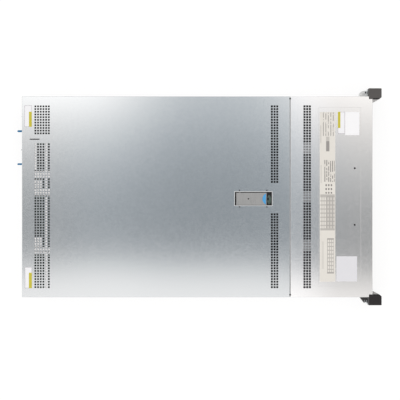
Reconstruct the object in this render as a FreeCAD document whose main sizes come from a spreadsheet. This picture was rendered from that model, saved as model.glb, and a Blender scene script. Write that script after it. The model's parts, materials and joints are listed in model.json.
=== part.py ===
import FreeCAD, Part
import Sketcher
import math
import os
import re
from FreeCAD import Placement, Rotation, Vector

# Rack server, two rack units high. X runs to the front, Y to the server's left, Z up.
# The origin is on the underside, in the middle of the chassis.

SIZES = [
    ("chassis_depth", 780, "sheet-metal body, front edge to rear edge"),
    ("chassis_height", 86.1, "underside to top of the covers"),
    ("rack_panel_width", 482.6, "across both ears, 19-inch standard"),
    ("ear_overhang", 17.8, "ear beyond the side of the sheet-metal body"),
    ("rack_hole_inset", 8.75, "outer edge of an ear to its rack holes"),
    ("rack_unit", 44.45, "height of one rack unit"),
    ("rack_hole_radius", 3.3, "clearance hole for a rack screw"),
    ("tray_sheet", 1.2, "sheet of tray, rear wall and ear brackets"),
    ("cover_sheet", 1, "sheet of both covers"),
    ("thin_sheet", 1, "sheet of the inner cages"),
    ("seam_gap", 0.3, "gap between sheet-metal pieces that meet"),
    ("cover_seam", 1, "gap between the front cover and the top cover"),
    ("slide_gap", 0.4, "gap beside a piece that slides in its bay"),
    ("pin_gap", 0.05, "radial clearance of a pin in its hole"),
    ("flange_height", 12, "down-turned edges of both covers"),
    ("front_cover_depth", 183.5, "front edge to the seam of the covers"),
    ("vent_pitch", 6, "spacing of the vent holes"),
    ("vent_hole", 3.8, "side of one vent hole"),
    ("vent_margin", 22.5, "chassis side to the outermost vent row"),
    ("front_vent_back", 151.6, "front edge to the rearmost column of the front vents"),
    ("mid_vent_back", 224.1, "front edge to the rearmost column of the middle vents"),
    ("rear_vent_inset", 30, "rear edge to the first column of the rear vents"),
    ("screw_radius", 1.5, "screws of the front cover"),
    ("label_recess_depth", 0.4, "shallow recess for the service label"),
    ("label_margin", 24.5, "chassis side to the label recess"),
    ("cover_slot_y", 128, "slot beside the rear vents"),
    ("cover_travel", 14, "slide of the top cover"),
    ("hook_radius", 1.8, "pins that guide the top cover"),
    ("hook_inset", 36, "ends of the top cover to its first and last guide pins"),
    ("latch_front", 223.9, "front edge to the latch recess"),
    ("latch_length", 82, "latch recess along the chassis"),
    ("latch_width", 29.6, "latch recess across the chassis"),
    ("latch_offset", -4.5, "latch centre line from the chassis centre"),
    ("latch_depth", 12.8, "depth of the latch recess"),
    ("latch_pivot_inset", 11, "rear end of the recess to the lever pivot"),
    ("latch_pivot_drop", 6, "cover top to the lever pivot"),
    ("latch_plate", 2.5, "thickness of the lever"),
    ("latch_pin_radius", 1.5, "lever pivot pin"),
    ("stud_drop", 12, "lever pivot to the stud on the brace"),
    ("stud_radius", 2, "stud on the brace"),
    ("stud_play", 0.7, "play of the stud in the lever fork"),
    ("bay_side", 7.5, "space beside the drive bays"),
    ("cage_depth", 166, "depth of the drive cage"),
    ("carrier_gap", 0.6, "gap beside a drive carrier"),
    ("bezel_depth", 13.5, "front part of a drive carrier"),
    ("drive_length", 147, "3.5-inch drive"),
    ("fan_headroom", 2.6, "space above a fan frame"),
    ("fan_depth", 38, "depth of a fan frame"),
    ("fan_start", 184.4, "front edge to the fans"),
    ("board_height", 7, "underside of the motherboard"),
    ("board_thick", 1.6, "circuit boards"),
    ("board_front", 270, "front edge to the motherboard"),
    ("processor_back", 405, "front edge to the middle of the processors"),
    ("memory_start", 46, "middle of a processor to its first memory socket"),
    ("memory_side", 11.3, "last memory socket to the chassis side"),
    ("brace_drop", 7, "stud to the underside of the brace"),
    ("duct_clearance", 1.1, "air duct below the brace"),
    ("psu_width", 73.5, "power supply"),
    ("psu_height", 40, "power supply"),
    ("psu_length", 185, "power supply"),
    ("psu_wall", 0.8, "sheet of the power supply case"),
    ("psu_stand_off", 1, "rear face of the power supply behind the rear wall"),
    ("tab_reach", 20, "release tab behind the rear edge"),
    ("psu_fan_radius", 17.3, "opening of the power supply fan"),
    ("riser_depth", 190, "riser cages, from the rear edge"),
    ("jack_width", 16, "network jack"),
    ("jack_height", 13.5, "network jack"),
    ("ear_reach", 20, "ear in front of the front edge"),
    ("ear_back", 8, "ear behind the front edge"),
    ("ear_inset", 6, "ear inside the chassis side"),
    ("ear_slot_height", 18, "slot for the ear latch"),
]

doc = FreeCAD.newDocument("rack_server")
dims = doc.addObject("Spreadsheet::Sheet", "dims")
for row, (alias, number, note) in enumerate(SIZES, start=1):
    dims.set(f"A{row}", note)
    dims.set(f"B{row}", str(number))
    dims.setAlias(f"B{row}", alias)
doc.recompute()

SIDES = (("left", 1), ("right", -1))
COLUMNS = range(4)
ROWS = range(3)
DRIVE_ROW = 2
FANS = range(4)
HOOKS = 4
SCREW_SPOTS = (63.5, -62.4)
VENT_COLUMNS = 3
NO_GAP = (0, 0)

# Places that follow from the sizes
DERIVED = {
    "front_x": "chassis_depth / 2",
    "rear_x": "-chassis_depth / 2",
    "chassis_width": "rack_panel_width - 2 * ear_overhang",
    "half_width": "chassis_width / 2",
    "cover_under": "chassis_height - cover_sheet",
    "wall_top": "cover_under - seam_gap",
    "tray_outer": "half_width - cover_sheet - seam_gap",
    "tray_inner": "tray_outer - tray_sheet",
    "seam_x": "front_x - front_cover_depth",
    "cage_back": "front_x - cage_depth",
    "bay_pitch": "(chassis_width - 2 * bay_side) / 4",
    "cage_half": "2 * bay_pitch",
    "cage_top": "wall_top - thin_sheet",
    "row_pitch": "(cage_top - tray_sheet) / 3",
    "carrier_width": "bay_pitch - thin_sheet - 2 * carrier_gap",
    "carrier_height": "row_pitch - 1",
    "bezel_front": "front_x - 0.5",
    "bezel_back": "bezel_front - bezel_depth",
    "drive_back": "bezel_back - drive_length",
    "fan_size": "wall_top - tray_sheet - thin_sheet - fan_headroom",
    "fan_front": "front_x - fan_start",
    "fan_back": "fan_front - fan_depth",
    "fan_middle": "tray_sheet + thin_sheet + fan_size / 2",
    "latch_nose": "front_x - latch_front",
    "latch_tail": "latch_nose - latch_length",
    "latch_left": "latch_offset + latch_width / 2",
    "latch_right": "latch_offset - latch_width / 2",
    "pan_floor": "chassis_height - latch_depth",
    "pivot_x": "latch_tail + latch_pivot_inset",
    "pivot_z": "chassis_height - latch_pivot_drop",
    "stud_x": "pivot_x - cover_travel / 2",
    "stud_z": "pivot_z - stud_drop",
    "brace_front": "stud_x - 11",
    "board_top": "board_height + board_thick",
    "board_nose": "front_x - board_front",
    "processor_x": "front_x - processor_back",
    "processor_offset": "tray_inner / 2 - 0.5",
    "memory_pitch": "(tray_inner / 2 - memory_start - memory_side) / 7",
    "duct_height": "stud_z - brace_drop - duct_clearance",
    "bay_top": "psu_floor + psu_height + slide_gap",
    "psu_floor": "tray_sheet + slide_gap",
    "psu_1_left": "tray_inner - slide_gap",
    "psu_1_right": "psu_1_left - psu_width",
    "psu_2_left": "psu_1_right - 2 * slide_gap - thin_sheet",
    "psu_2_right": "psu_2_left - psu_width",
    "psu_wall_left": "psu_2_right - slide_gap",
    "psu_rear": "rear_x - psu_stand_off",
    "psu_front": "psu_rear + psu_length",
    "power_board_x": "psu_front + 6",
    "ear_front": "front_x + ear_reach",
    "ear_rear": "front_x - ear_back",
    "ear_outer": "rack_panel_width / 2",
    "ear_inner": "half_width - ear_inset",
    "ear_middle": "chassis_height / 2",
    "rack_hole_y": "ear_outer - rack_hole_inset",
    "lower_hole_z": "chassis_height / 2 - rack_unit / 2",
    "upper_hole_z": "chassis_height / 2 + rack_unit / 2",
    "hook_z": "chassis_height - 7.6",
    "hook_spacing": f"(seam_x - rear_x - 2 * hook_inset) / {HOOKS - 1}",
    "hook_low": "hook_z - hook_radius - slide_gap",
    "hook_high": "hook_z + hook_radius + slide_gap",
    "screw_x": "front_x - 39.8",
    "screw_top": "chassis_height - label_recess_depth",
    "screw_head": "screw_radius + cover_sheet - label_recess_depth",
    "grip_front": "latch_nose - 13.5",
    "lock_x": "latch_tail + 29.6",
    "fan_pitch": "bay_pitch",
    "io_top": "board_top + jack_height + 2.4",
    "riser_top": "wall_top - 0.3",
    "slot_step": "(riser_top - bay_top - thin_sheet - 1.5) / 2",
    "slot_height": "0.6 * slot_step",
    "slot_rim": "0.15 * slot_step",
    "port_face": "rear_x - 0.8",
    "psu_middle": "psu_floor + psu_height / 2",
    "ear_button_y": "rack_hole_y - 3",
    "slot_low": "ear_middle - ear_slot_height / 2",
    "slot_high": "ear_middle + ear_slot_height / 2",
    "ear_pin_y": "ear_outer - 11.3",
}

ALIASES = {alias for alias, number, note in SIZES}
WORD = re.compile(r"[a-z][a-z_0-9]*")
TURNS = {"x": Rotation(Vector(0, 1, 0), 90), "y": Rotation(Vector(1, 0, 0), -90), "z": Rotation()}


def bound(text):
    """Expression on the sheet for a formula written with the names above."""
    def swap(match):
        name = match.group(0)
        if name in DERIVED:
            return "(" + bound(DERIVED[name]) + ")"
        return "dims." + name if name in ALIASES else name
    return WORD.sub(swap, str(text))


def about(middle, half):
    """Pair of formulas at equal distances from a middle."""
    return f"{middle} - ({half})", f"{middle} + ({half})"


def block(name, x, y, z):
    """Box between pairs of formulas."""
    box = doc.addObject("Part::Box", name)
    for side, along, (low, high) in (("Length", "x", x), ("Width", "y", y), ("Height", "z", z)):
        box.setExpression(side, bound(f"({high}) - ({low})"))
        box.setExpression("Placement.Base." + along, bound(low))
    return box


def drum(name, axis, span, centre, radius):
    """Cylinder along an axis between two formulas; centre is given in the other two axes."""
    post = doc.addObject("Part::Cylinder", name)
    post.Placement = Placement(Vector(), TURNS[axis])
    post.setExpression("Radius", bound(radius))
    post.setExpression("Height", bound(f"({span[1]}) - ({span[0]})"))
    spots = dict(zip("xyz".replace(axis, ""), centre))
    spots[axis] = span[0]
    for along, where in spots.items():
        post.setExpression("Placement.Base." + along, bound(where))
    return post


def gather(name, solids):
    """Several separate solids as one object."""
    result = doc.addObject("Part::Compound", name)
    result.Links = list(solids)
    return result


def fuse(name, solids):
    result = doc.addObject("Part::MultiFuse", name)
    result.Shapes = list(solids)
    return result


def cut(name, base, tools):
    result = doc.addObject("Part::Cut", name)
    result.Base = base
    result.Tool = tools[0] if len(tools) == 1 else gather(name + "_tools", tools)
    return result


def new_body(name):
    return doc.addObject("PartDesign::Body", name)


def sketch(body, name, role, offset="0"):
    """Sketch on an origin plane of the body, moved along the plane's normal."""
    result = body.newObject("Sketcher::SketchObject", name)
    plane = next(item for item in body.Origin.OriginFeatures if item.Role == role)
    result.AttachmentSupport = [(plane, "")]
    result.MapMode = "FlatFace"
    result.setExpression("AttachmentOffset.Base.z", bound(offset))
    return result


def polygon(target, points):
    """Closed outline whose corners are pairs of formulas."""
    first = target.GeometryCount
    count = len(points)
    steps = [2 * math.pi * index / count for index in range(count)]
    corners = [Vector(math.cos(step), math.sin(step), 0) for step in steps]
    for index in range(count):
        target.addGeometry(Part.LineSegment(corners[index], corners[(index + 1) % count]), False)
    for index in range(count):
        follower = first + (index + 1) % count
        target.addConstraint(Sketcher.Constraint("Coincident", first + index, 2, follower, 1))
    for index, point in enumerate(points):
        for kind, start, place in (("DistanceX", corners[index].x, point[0]),
                                   ("DistanceY", corners[index].y, point[1])):
            number = target.addConstraint(Sketcher.Constraint(kind, -1, 1, first + index, 1, start))
            target.setExpression(f"Constraints[{number}]", bound(place))


def rectangle(target, across, along):
    low, high = across
    near, far = along
    polygon(target, [(low, near), (high, near), (high, far), (low, far)])


def circle(target, centre, radius):
    number = target.addGeometry(Part.Circle(Vector(1, 1, 0), Vector(0, 0, 1), 1), False)
    for kind, place in (("DistanceX", centre[0]), ("DistanceY", centre[1])):
        item = target.addConstraint(Sketcher.Constraint(kind, -1, 1, number, 3, 1.0))
        target.setExpression(f"Constraints[{item}]", bound(place))
    item = target.addConstraint(Sketcher.Constraint("Radius", number, 1.0))
    target.setExpression(f"Constraints[{item}]", bound(radius))


def pad(body, profile, length, backwards=False):
    result = body.newObject("PartDesign::Pad", profile.Name + "_pad")
    result.Profile = profile
    result.setExpression("Length", bound(length))
    result.Reversed = backwards
    profile.Visibility = False
    return result


def pocket(body, profile, depth=None, backwards=False):
    """Pocket of a given depth, or right through."""
    result = body.newObject("PartDesign::Pocket", profile.Name + "_pocket")
    result.Profile = profile
    result.Reversed = backwards
    if depth is None:
        result.Type = "ThroughAll"
    else:
        result.setExpression("Length", bound(depth))
    return result


def repeat(body, feature, profile, axis, gap, count, backwards=False):
    """Row of copies of a feature along a sketch axis."""
    result = body.newObject("PartDesign::LinearPattern", feature.Name + "_row")
    result.Originals = [feature]
    result.Direction = (profile, [axis])
    result.Reversed = backwards
    result.setExpression("Length", bound(f"({gap}) * ({count} - 1)"))
    result.Occurrences = count
    body.Tip = result
    return result


# Sheet-metal shell

def chassis_tray():
    body = new_body("chassis_tray")
    section = sketch(body, "tray_section", "YZ_Plane", "rear_x")
    polygon(section, [
        ("-tray_outer", "0"), ("tray_outer", "0"),
        ("tray_outer", "wall_top"), ("tray_inner", "wall_top"),
        ("tray_inner", "tray_sheet"), ("-tray_inner", "tray_sheet"),
        ("-tray_inner", "wall_top"), ("-tray_outer", "wall_top"),
    ])
    pad(body, section, "chassis_depth")

    # L-shaped slots that the guide pins of the top cover run in
    slot = sketch(body, "hook_slot", "XZ_Plane", "-half_width - 10")
    start = hook_x(0) + " + hook_radius + slide_gap"
    end = hook_x(0) + " - cover_travel - hook_radius - slide_gap"
    mouth = end + " + 2 * (hook_radius + slide_gap)"
    polygon(slot, [
        (end, "hook_low"), (start, "hook_low"), (start, "hook_high"),
        (mouth, "hook_high"), (mouth, "wall_top + 1"), (end, "wall_top + 1"),
    ])
    slots = pocket(body, slot, None, True)
    repeat(body, slots, slot, "H_Axis", "hook_spacing", HOOKS, True)

    # Front corners give way to the ears
    notch = sketch(body, "ear_notch", "XY_Plane", "chassis_height")
    for side, sign in SIDES:
        rectangle(notch, ("ear_rear - seam_gap", "front_x + 1"),
                  (f"{sign} * (ear_inner - seam_gap)", f"{sign} * (half_width + 1)"))
    pocket(body, notch)

    # Posts under the motherboard
    posts = sketch(body, "board_posts", "XY_Plane", "tray_sheet")
    for place_x in ("board_nose - 12", "processor_x - 95", "rear_x + 30"):
        for place_y in ("-tray_inner + 12", "-60", "psu_wall_left - 11.4"):
            circle(posts, (place_x, place_y), "3")
    circle(posts, ("board_nose - 12", "tray_inner - 12"), "3")
    circle(posts, ("processor_x - 95", "tray_inner - 12"), "3")
    pad(body, posts, "board_height - tray_sheet")
    return body


def hook_x(index):
    """Place of a guide pin with the cover shut."""
    return f"(seam_x - hook_inset - {index} * hook_spacing)"


def size(name):
    return float(dims.get(name))


def chassis_half():
    return size("rack_panel_width") / 2 - size("ear_overhang")


def slot_count(room):
    """Slots of the vent grid that fit in a room."""
    return int(room / size("vent_pitch") + 0.01)


def vent_tool(name, fields):
    """Cutter for vent fields: one slot across the columns in every row outside the field's gap."""
    hole, pitch, sheet = size("vent_hole"), size("vent_pitch"), size("cover_sheet")
    edge = chassis_half() - size("vent_margin")
    low = size("chassis_height") - 2 * sheet
    slots = []
    for column_x, (gap_middle, gap_half) in fields:
        for row in range(slot_count(2 * edge) + 1):
            row_y = edge - row * pitch
            if abs(row_y - gap_middle) >= gap_half:
                corner = Vector(column_x - hole / 2, row_y - hole / 2, low)
                slots.append(Part.makeBox((VENT_COLUMNS - 1) * pitch + hole, hole, 3 * sheet, corner))
    tool = doc.addObject("Part::Feature", name)
    tool.Shape = Part.makeCompound(slots)
    return tool


def cover_shell(name, rear, front):
    """Flat cover with a down-turned flange along each side."""
    body = new_body(name)
    section = sketch(body, name + "_section", "YZ_Plane", rear)
    inner = "half_width - cover_sheet"
    low = "chassis_height - flange_height"
    polygon(section, [
        (f"-({inner})", low), (f"-({inner})", "cover_under"),
        (inner, "cover_under"), (inner, low), ("half_width", low),
        ("half_width", "chassis_height"), ("-half_width", "chassis_height"), ("-half_width", low),
    ])
    pad(body, section, f"({front}) - ({rear})")
    return body


def seam_dots(target):
    """Relief holes at both ends of the seam between the covers."""
    for side, sign in SIDES:
        circle(target, ("seam_x", f"{sign} * (half_width - 5.5)"), "1.9")


def front_cover():
    body = cover_shell("front_cover_shell", "seam_x + cover_seam / 2", "front_x")
    notch = sketch(body, "front_cover_notch", "XY_Plane", "chassis_height + 1")
    for side, sign in SIDES:
        rectangle(notch, ("ear_rear - seam_gap", "front_x + 1"),
                  (f"{sign} * (ear_inner - seam_gap)", f"{sign} * (half_width + 1)"))
    seam_dots(notch)
    pocket(body, notch)
    recess = sketch(body, "label_recess", "XY_Plane", "chassis_height")
    rectangle(recess, ("front_x - 120", "front_x - 26"),
              ("label_margin - half_width", "half_width - label_margin"))
    pocket(body, recess, "label_recess_depth")
    spots = sketch(body, "screw_spots", "XY_Plane", "chassis_height - label_recess_depth")
    for place_y in SCREW_SPOTS:
        circle(spots, ("screw_x", place_y), "screw_radius")
    doc.recompute()
    seats = body.newObject("PartDesign::Hole", "screw_seats")
    seats.Profile = spots
    seats.DepthType = "ThroughAll"
    seats.setExpression("Diameter", bound("2 * (screw_radius + pin_gap)"))
    seats.HoleCutType = "Countersink"
    seats.setExpression("HoleCutDiameter", bound("2 * (screw_head + pin_gap)"))
    seats.HoleCutCountersinkAngle = 90
    doc.recompute()
    column_x = size("chassis_depth") / 2 - size("front_vent_back")
    vents = vent_tool("front_vents", [(column_x, NO_GAP)])
    return cut("front_cover", body, [vents])


def chassis_screws():
    """Countersunk screws of the front cover and flat screws in the chassis sides."""
    screws = []
    for index, spot in enumerate(SCREW_SPOTS):
        head = doc.addObject("Part::Cone", f"screw_head_{index}")
        head.setExpression("Radius1", bound("screw_radius"))
        head.setExpression("Radius2", bound("screw_head"))
        head.setExpression("Height", bound("screw_top - cover_under"))
        for along, place in (("x", "screw_x"), ("y", spot), ("z", "cover_under")):
            head.setExpression("Placement.Base." + along, bound(place))
        shank = drum(f"screw_shank_{index}", "z", ("cage_top", "cover_under"), ("screw_x", spot),
                     "screw_radius")
        screws.append(fuse(f"cover_screw_{index}", [head, shank]))
    for side, sign in SIDES:
        for place_x in ("cage_back + 20", "front_x - 90"):
            for place_z in ("tray_sheet + 14", "tray_sheet + 52"):
                number = len(screws)
                span = ("tray_outer", "half_width") if sign > 0 else ("-half_width", "-tray_outer")
                screws.append(drum(f"side_screw_{number}", "y", span, (place_x, place_z), "3"))
    return gather("chassis_screws", screws)


def top_cover():
    body = cover_shell("top_cover_shell", "rear_x", "seam_x - cover_seam / 2")

    # Guide pins on the inner faces of the flanges
    for side, sign in SIDES:
        pins = sketch(body, f"guide_pins_{side}", "XZ_Plane", f"{-sign} * (tray_inner - 0.4)")
        for index in range(HOOKS):
            circle(pins, (hook_x(index), "hook_z"), "hook_radius")
        pad(body, pins, "tray_sheet + seam_gap + 0.4 + cover_sheet / 2", sign > 0)
    opening = sketch(body, "cover_openings", "XY_Plane", "chassis_height")
    rectangle(opening, ("latch_tail", "latch_nose"), ("latch_right", "latch_left"))
    rectangle(opening, ("rear_x + 17.4", "rear_x + 39.5"), about("cover_slot_y", "1.5"))
    for spot in rivet_spots():
        circle(opening, spot, "1.5 + pin_gap")
    seam_dots(opening)
    pocket(body, opening, "2 * cover_sheet")

    # Middle vents beside the latch and two banks of rear vents beside the slot
    mid_x = size("chassis_depth") / 2 - size("mid_vent_back")
    rear_x = size("rear_vent_inset") - size("chassis_depth") / 2
    latch_gap = (size("latch_offset"), size("latch_width") / 2 + 17)
    slot_gap = (size("cover_slot_y"), 8)
    bank_step = VENT_COLUMNS * size("vent_pitch")
    fields = [(mid_x, latch_gap), (rear_x, slot_gap), (rear_x + bank_step, slot_gap)]
    return cut("top_cover", body, [vent_tool("top_vents", fields)])


# Cover latch

def rivet_spots():
    return [(place_x, place_y) for place_x in ("latch_tail + 10", "latch_tail + 70.7")
            for place_y in ("latch_left + 4.2", "latch_right - 3.2")]


def latch_pan():
    """Pan under the opening of the top cover, riveted to it by its flange."""
    wall = "thin_sheet"
    outside = block("latch_pan_outside", (f"latch_tail - {wall}", f"latch_nose + {wall}"),
                    (f"latch_right - {wall}", f"latch_left + {wall}"),
                    (f"pan_floor - {wall}", "cover_under"))
    flange = block("latch_pan_flange", ("latch_tail - 5", "latch_nose + 4"),
                   ("latch_right - 7", "latch_left + 8"), (f"cover_under - {wall}", "cover_under"))
    rivets = [drum(f"latch_rivet_{index}", "z", ("cover_under", "chassis_height"), spot, "1.5")
              for index, spot in enumerate(rivet_spots())]
    inside = block("latch_pan_inside", ("latch_tail", "latch_nose"), ("latch_right", "latch_left"),
                   ("pan_floor", "chassis_height"))
    fork_way = block("latch_fork_way", about("pivot_x", "10.5"),
                     about("latch_offset", "5"), (f"pan_floor - 2 * {wall}", "pan_floor + 1"))
    bore = drum("latch_pan_bore", "y", ("latch_right - 5", "latch_left + 5"), ("pivot_x", "pivot_z"),
                "latch_pin_radius")
    solid = fuse("latch_pan_solid", [outside, flange] + rivets)
    return cut("latch_pan", cut("latch_pan_hollow", solid, [inside]), [fork_way, bore])


def latch_pin():
    return drum("latch_pin", "y", ("latch_right - thin_sheet", "latch_left + thin_sheet"),
                ("pivot_x", "pivot_z"), "latch_pin_radius")


GRIP_RADIUS = 13.3
GRIP_LENGTH = 7.6


def grip_shape(name, low, gap):
    """Half-moon with its curved edge to the rear."""
    disc = drum(name + "_disc", "z", (low, "chassis_height"),
                (f"grip_front - {GRIP_LENGTH} + {GRIP_RADIUS}", "latch_offset - 0.5"),
                f"{GRIP_RADIUS} + {gap}")
    keep = block(name + "_keep", (f"grip_front - {2 * GRIP_RADIUS}", f"grip_front + {gap}"),
                 ("latch_right", "latch_left"), (low, "chassis_height"))
    half = doc.addObject("Part::Common", name)
    half.Base = disc
    half.Tool = keep
    return half


def latch_lever():
    """Flush lever with a hub on the pin and a fork that takes the stud of the brace."""
    body = new_body("latch_lever_body")
    plate = sketch(body, "lever_plate", "XY_Plane", "chassis_height - latch_plate")
    rectangle(plate, ("latch_tail + 2.6", "latch_nose - 12.1"),
              ("latch_right + 0.9", "latch_left - 1.3"))
    pad(body, plate, "latch_plate")
    hub = sketch(body, "lever_hub", "XZ_Plane", "-latch_offset - 7")
    circle(hub, ("pivot_x", "pivot_z"), "4.4")
    pad(body, hub, "14")

    # The fork points at the stud; its prongs are clear of it by the named play
    half = "(stud_radius + stud_play)"
    prong = f"({half} + 2)"
    reach = "(stud_drop + 4)"
    side = "(cover_travel / 2 / sqrt(stud_drop ^ 2 + cover_travel ^ 2 / 4))"
    down = "(stud_drop / sqrt(stud_drop ^ 2 + cover_travel ^ 2 / 4))"
    seat = "(stud_drop - stud_radius - stud_play)"

    def place(along, across):
        return (f"pivot_x - ({along}) * {side} + ({across}) * {down}",
                f"pivot_z - ({along}) * {down} - ({across}) * {side}")

    fork = sketch(body, "lever_fork", "XZ_Plane", "-latch_offset - 3")
    polygon(fork, [
        place("0", prong), place(reach, prong), place(reach, half), place(seat, half),
        place(seat, f"-{half}"), place(reach, f"-{half}"), place(reach, f"-{prong}"),
        place("0", f"-{prong}"),
    ])
    pad(body, fork, "6")
    bore = sketch(body, "lever_bore", "XZ_Plane", "-latch_offset - 20")
    circle(bore, ("pivot_x", "pivot_z"), "latch_pin_radius + pin_gap")
    pocket(body, bore, None, True)
    lock_hole = drum("lock_hole", "z", ("pan_floor", "chassis_height + 1"),
                     ("lock_x", "latch_offset"), "2.6 + pin_gap")
    return cut("latch_lever", body, [grip_shape("grip_seat", "chassis_height - 1.2", "0.1"), lock_hole])


def latch_grip():
    return grip_shape("latch_grip", "chassis_height - 1.2", "0")


def latch_lock():
    """Quarter-turn lock with a screwdriver slot and a tongue under the lever."""
    low = "chassis_height - latch_plate"
    post = drum("lock_post", "z", (f"{low} - 1.4", "chassis_height - 0.1"),
                ("lock_x", "latch_offset"), "2.6")
    tongue = block("lock_tongue", about("lock_x", "5"), about("latch_offset", "2"),
                   (f"{low} - 1.4", f"{low} - 0.2"))
    slot = block("lock_slot", about("lock_x", "3"), about("latch_offset", "0.4"),
                 about("chassis_height", "1"))
    return cut("latch_lock", fuse("lock_solid", [post, tongue]), [slot])


def cross_brace():
    """Beam across the chassis with the stud that the cover latch works against."""
    beam = block("brace_beam", ("brace_front - 15", "brace_front"), ("-tray_inner", "tray_inner"),
                 ("stud_z - brace_drop", "pan_floor - thin_sheet - 0.8"))
    under = block("brace_hollow", ("brace_front - 15 + tray_sheet", "brace_front - tray_sheet"),
                  ("-tray_inner + 2", "tray_inner - 2"),
                  ("stud_z - brace_drop - 1", "pan_floor - thin_sheet - 0.8 - tray_sheet"))
    channel = cut("brace_channel", beam, [under])
    cheeks = [block(f"brace_cheek_{side}", ("brace_front", "stud_x + 4"),
                    (f"latch_offset + {sign * 7.5} - 0.75", f"latch_offset + {sign * 7.5} + 0.75"),
                    ("stud_z - 4", "stud_z + 3")) for side, sign in SIDES]
    stud = drum("brace_stud", "y", about("latch_offset", "7"), ("stud_x", "stud_z"), "stud_radius")
    return fuse("cross_brace", [channel, stud] + cheeks)


# Drive bays

def bay_centre(column):
    return f"({column - 1.5} * bay_pitch)"


def row_floor(row):
    return f"(tray_sheet + {row} * row_pitch + 0.6)"


def drive_cage():
    """Upright walls between the bays, joined by a strip under the front cover."""
    body = new_body("drive_cage_body")
    section = sketch(body, "cage_strip", "YZ_Plane", "screw_x - 6")
    rectangle(section, ("-cage_half", "cage_half"), ("cage_top", "wall_top"))
    pad(body, section, "12")
    walls = sketch(body, "cage_walls", "YZ_Plane", "cage_back")
    for index in range(5):
        middle = f"({index - 2} * bay_pitch)"
        half = "thin_sheet / 2"
        polygon(walls, [(f"{middle} - {half}", "tray_sheet"), (f"{middle} + {half}", "tray_sheet"),
                        (f"{middle} + {half}", "wall_top"), (f"{middle} - {half}", "wall_top")])
    pad(body, walls, "cage_depth")
    flanges = sketch(body, "cage_flanges", "YZ_Plane", "cage_back")
    for index in (1, 2, 3):
        middle = f"({index - 2} * bay_pitch)"
        rectangle(flanges, about(middle, "12"), ("cage_top", "wall_top"))
    pad(body, flanges, "cage_depth")

    # Ledges that the carriers slide on
    ledges = sketch(body, "cage_ledges", "YZ_Plane", "cage_back")
    for index in range(5):
        middle = f"({index - 2} * bay_pitch)"
        left = middle if index == 0 else f"{middle} - 3"
        right = middle if index == 4 else f"{middle} + 3"
        for row in (1, 2):
            rectangle(ledges, (left, right), (f"{row_floor(row)} - 0.8", f"{row_floor(row)} - 0.2"))
    pad(body, ledges, "cage_depth - bezel_depth")
    holes = [drum(f"cage_screw_hole_{index}", "z", ("cage_top - 1", "wall_top + 1"),
                  ("screw_x", spot), "1.5 + pin_gap")
             for index, spot in enumerate(SCREW_SPOTS)]
    return cut("drive_cage", body, holes)


def drive_backplane():
    """Board behind the bays with a socket for each drive and air slots between."""
    board = block("backplane_board", ("cage_back - board_thick", "cage_back"),
                  ("-cage_half", "cage_half"), ("tray_sheet", "wall_top - 4"))
    slots = []
    sockets = []
    for column in COLUMNS:
        for row in ROWS:
            name = f"{column}_{row}"
            middle = bay_centre(column)
            low = row_floor(row)
            slots.append(block("backplane_slot_" + name,
                               ("cage_back - board_thick - 1", "cage_back + 1"),
                               (f"{middle} + 2", f"{middle} + 44"), (f"{low} + 6", f"{low} + 20")))
            sockets.append(block("backplane_socket_" + name, ("cage_back - 0.5", "drive_back - 0.4"),
                                 (f"{middle} - 46", f"{middle} - 4"), (f"{low} + 3", f"{low} + 9")))
    return fuse("drive_backplane", [cut("backplane_sheet", board, slots)] + sockets)


def carrier_sides(column):
    middle = bay_centre(column)
    return f"({middle} - carrier_width / 2)", f"({middle} + carrier_width / 2)"


BEZEL_RIM = 1.8
PIVOT_INSET = 6.8
LEVER_THICK = 5


def drive_carrier(column):
    """Carrier frame with the drive in it."""
    name = f"drive_carrier_{column + 1}"
    right, left = carrier_sides(column)
    low = row_floor(DRIVE_ROW)
    high = f"({low} + carrier_height)"
    body = new_body(name + "_frame")
    face = sketch(body, name + "_face", "YZ_Plane", "bezel_back")
    rectangle(face, (right, left), (low, high))
    pad(body, face, "bezel_depth")
    well = sketch(body, name + "_well", "YZ_Plane", "bezel_front")
    rectangle(well, (f"{right} + {BEZEL_RIM}", f"{left} - {BEZEL_RIM}"),
              (f"{low} + {BEZEL_RIM}", f"{high} - {BEZEL_RIM}"))
    pocket(body, well, "bezel_depth - 3.5")
    air = sketch(body, name + "_air", "YZ_Plane", "bezel_front")
    for lane in range(3):
        rectangle(air, (f"{right} + 18", f"{left} - 12"),
                  (f"{low} + {4.5 + 6.5 * lane}", f"{low} + {8.5 + 6.5 * lane}"))
    pocket(body, air)
    rails = sketch(body, name + "_rails", "YZ_Plane", "bezel_back")
    for near, far in ((right, f"{right} + 1.5"), (f"{left} - 1.5", left)):
        rectangle(rails, (near, far), (low, f"{high} - 4"))
    pad(body, rails, "drive_length - 4", True)
    bore = drum(name + "_bore", "z", (f"{low} - 1", f"{high} + 1"),
                (f"bezel_front - {PIVOT_INSET / 2}", f"{left} - {PIVOT_INSET}"), "1.2 + pin_gap")
    frame = cut(name + "_bored", body, [bore])
    drive = block(name + "_drive", ("drive_back", "bezel_back"),
                  (f"{right} + 1.5 + carrier_gap / 2", f"{left} - 1.5 - carrier_gap / 2"),
                  (f"{low} + 0.2", f"{high} - 0.3"))
    return gather(name, [frame, drive])


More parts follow.
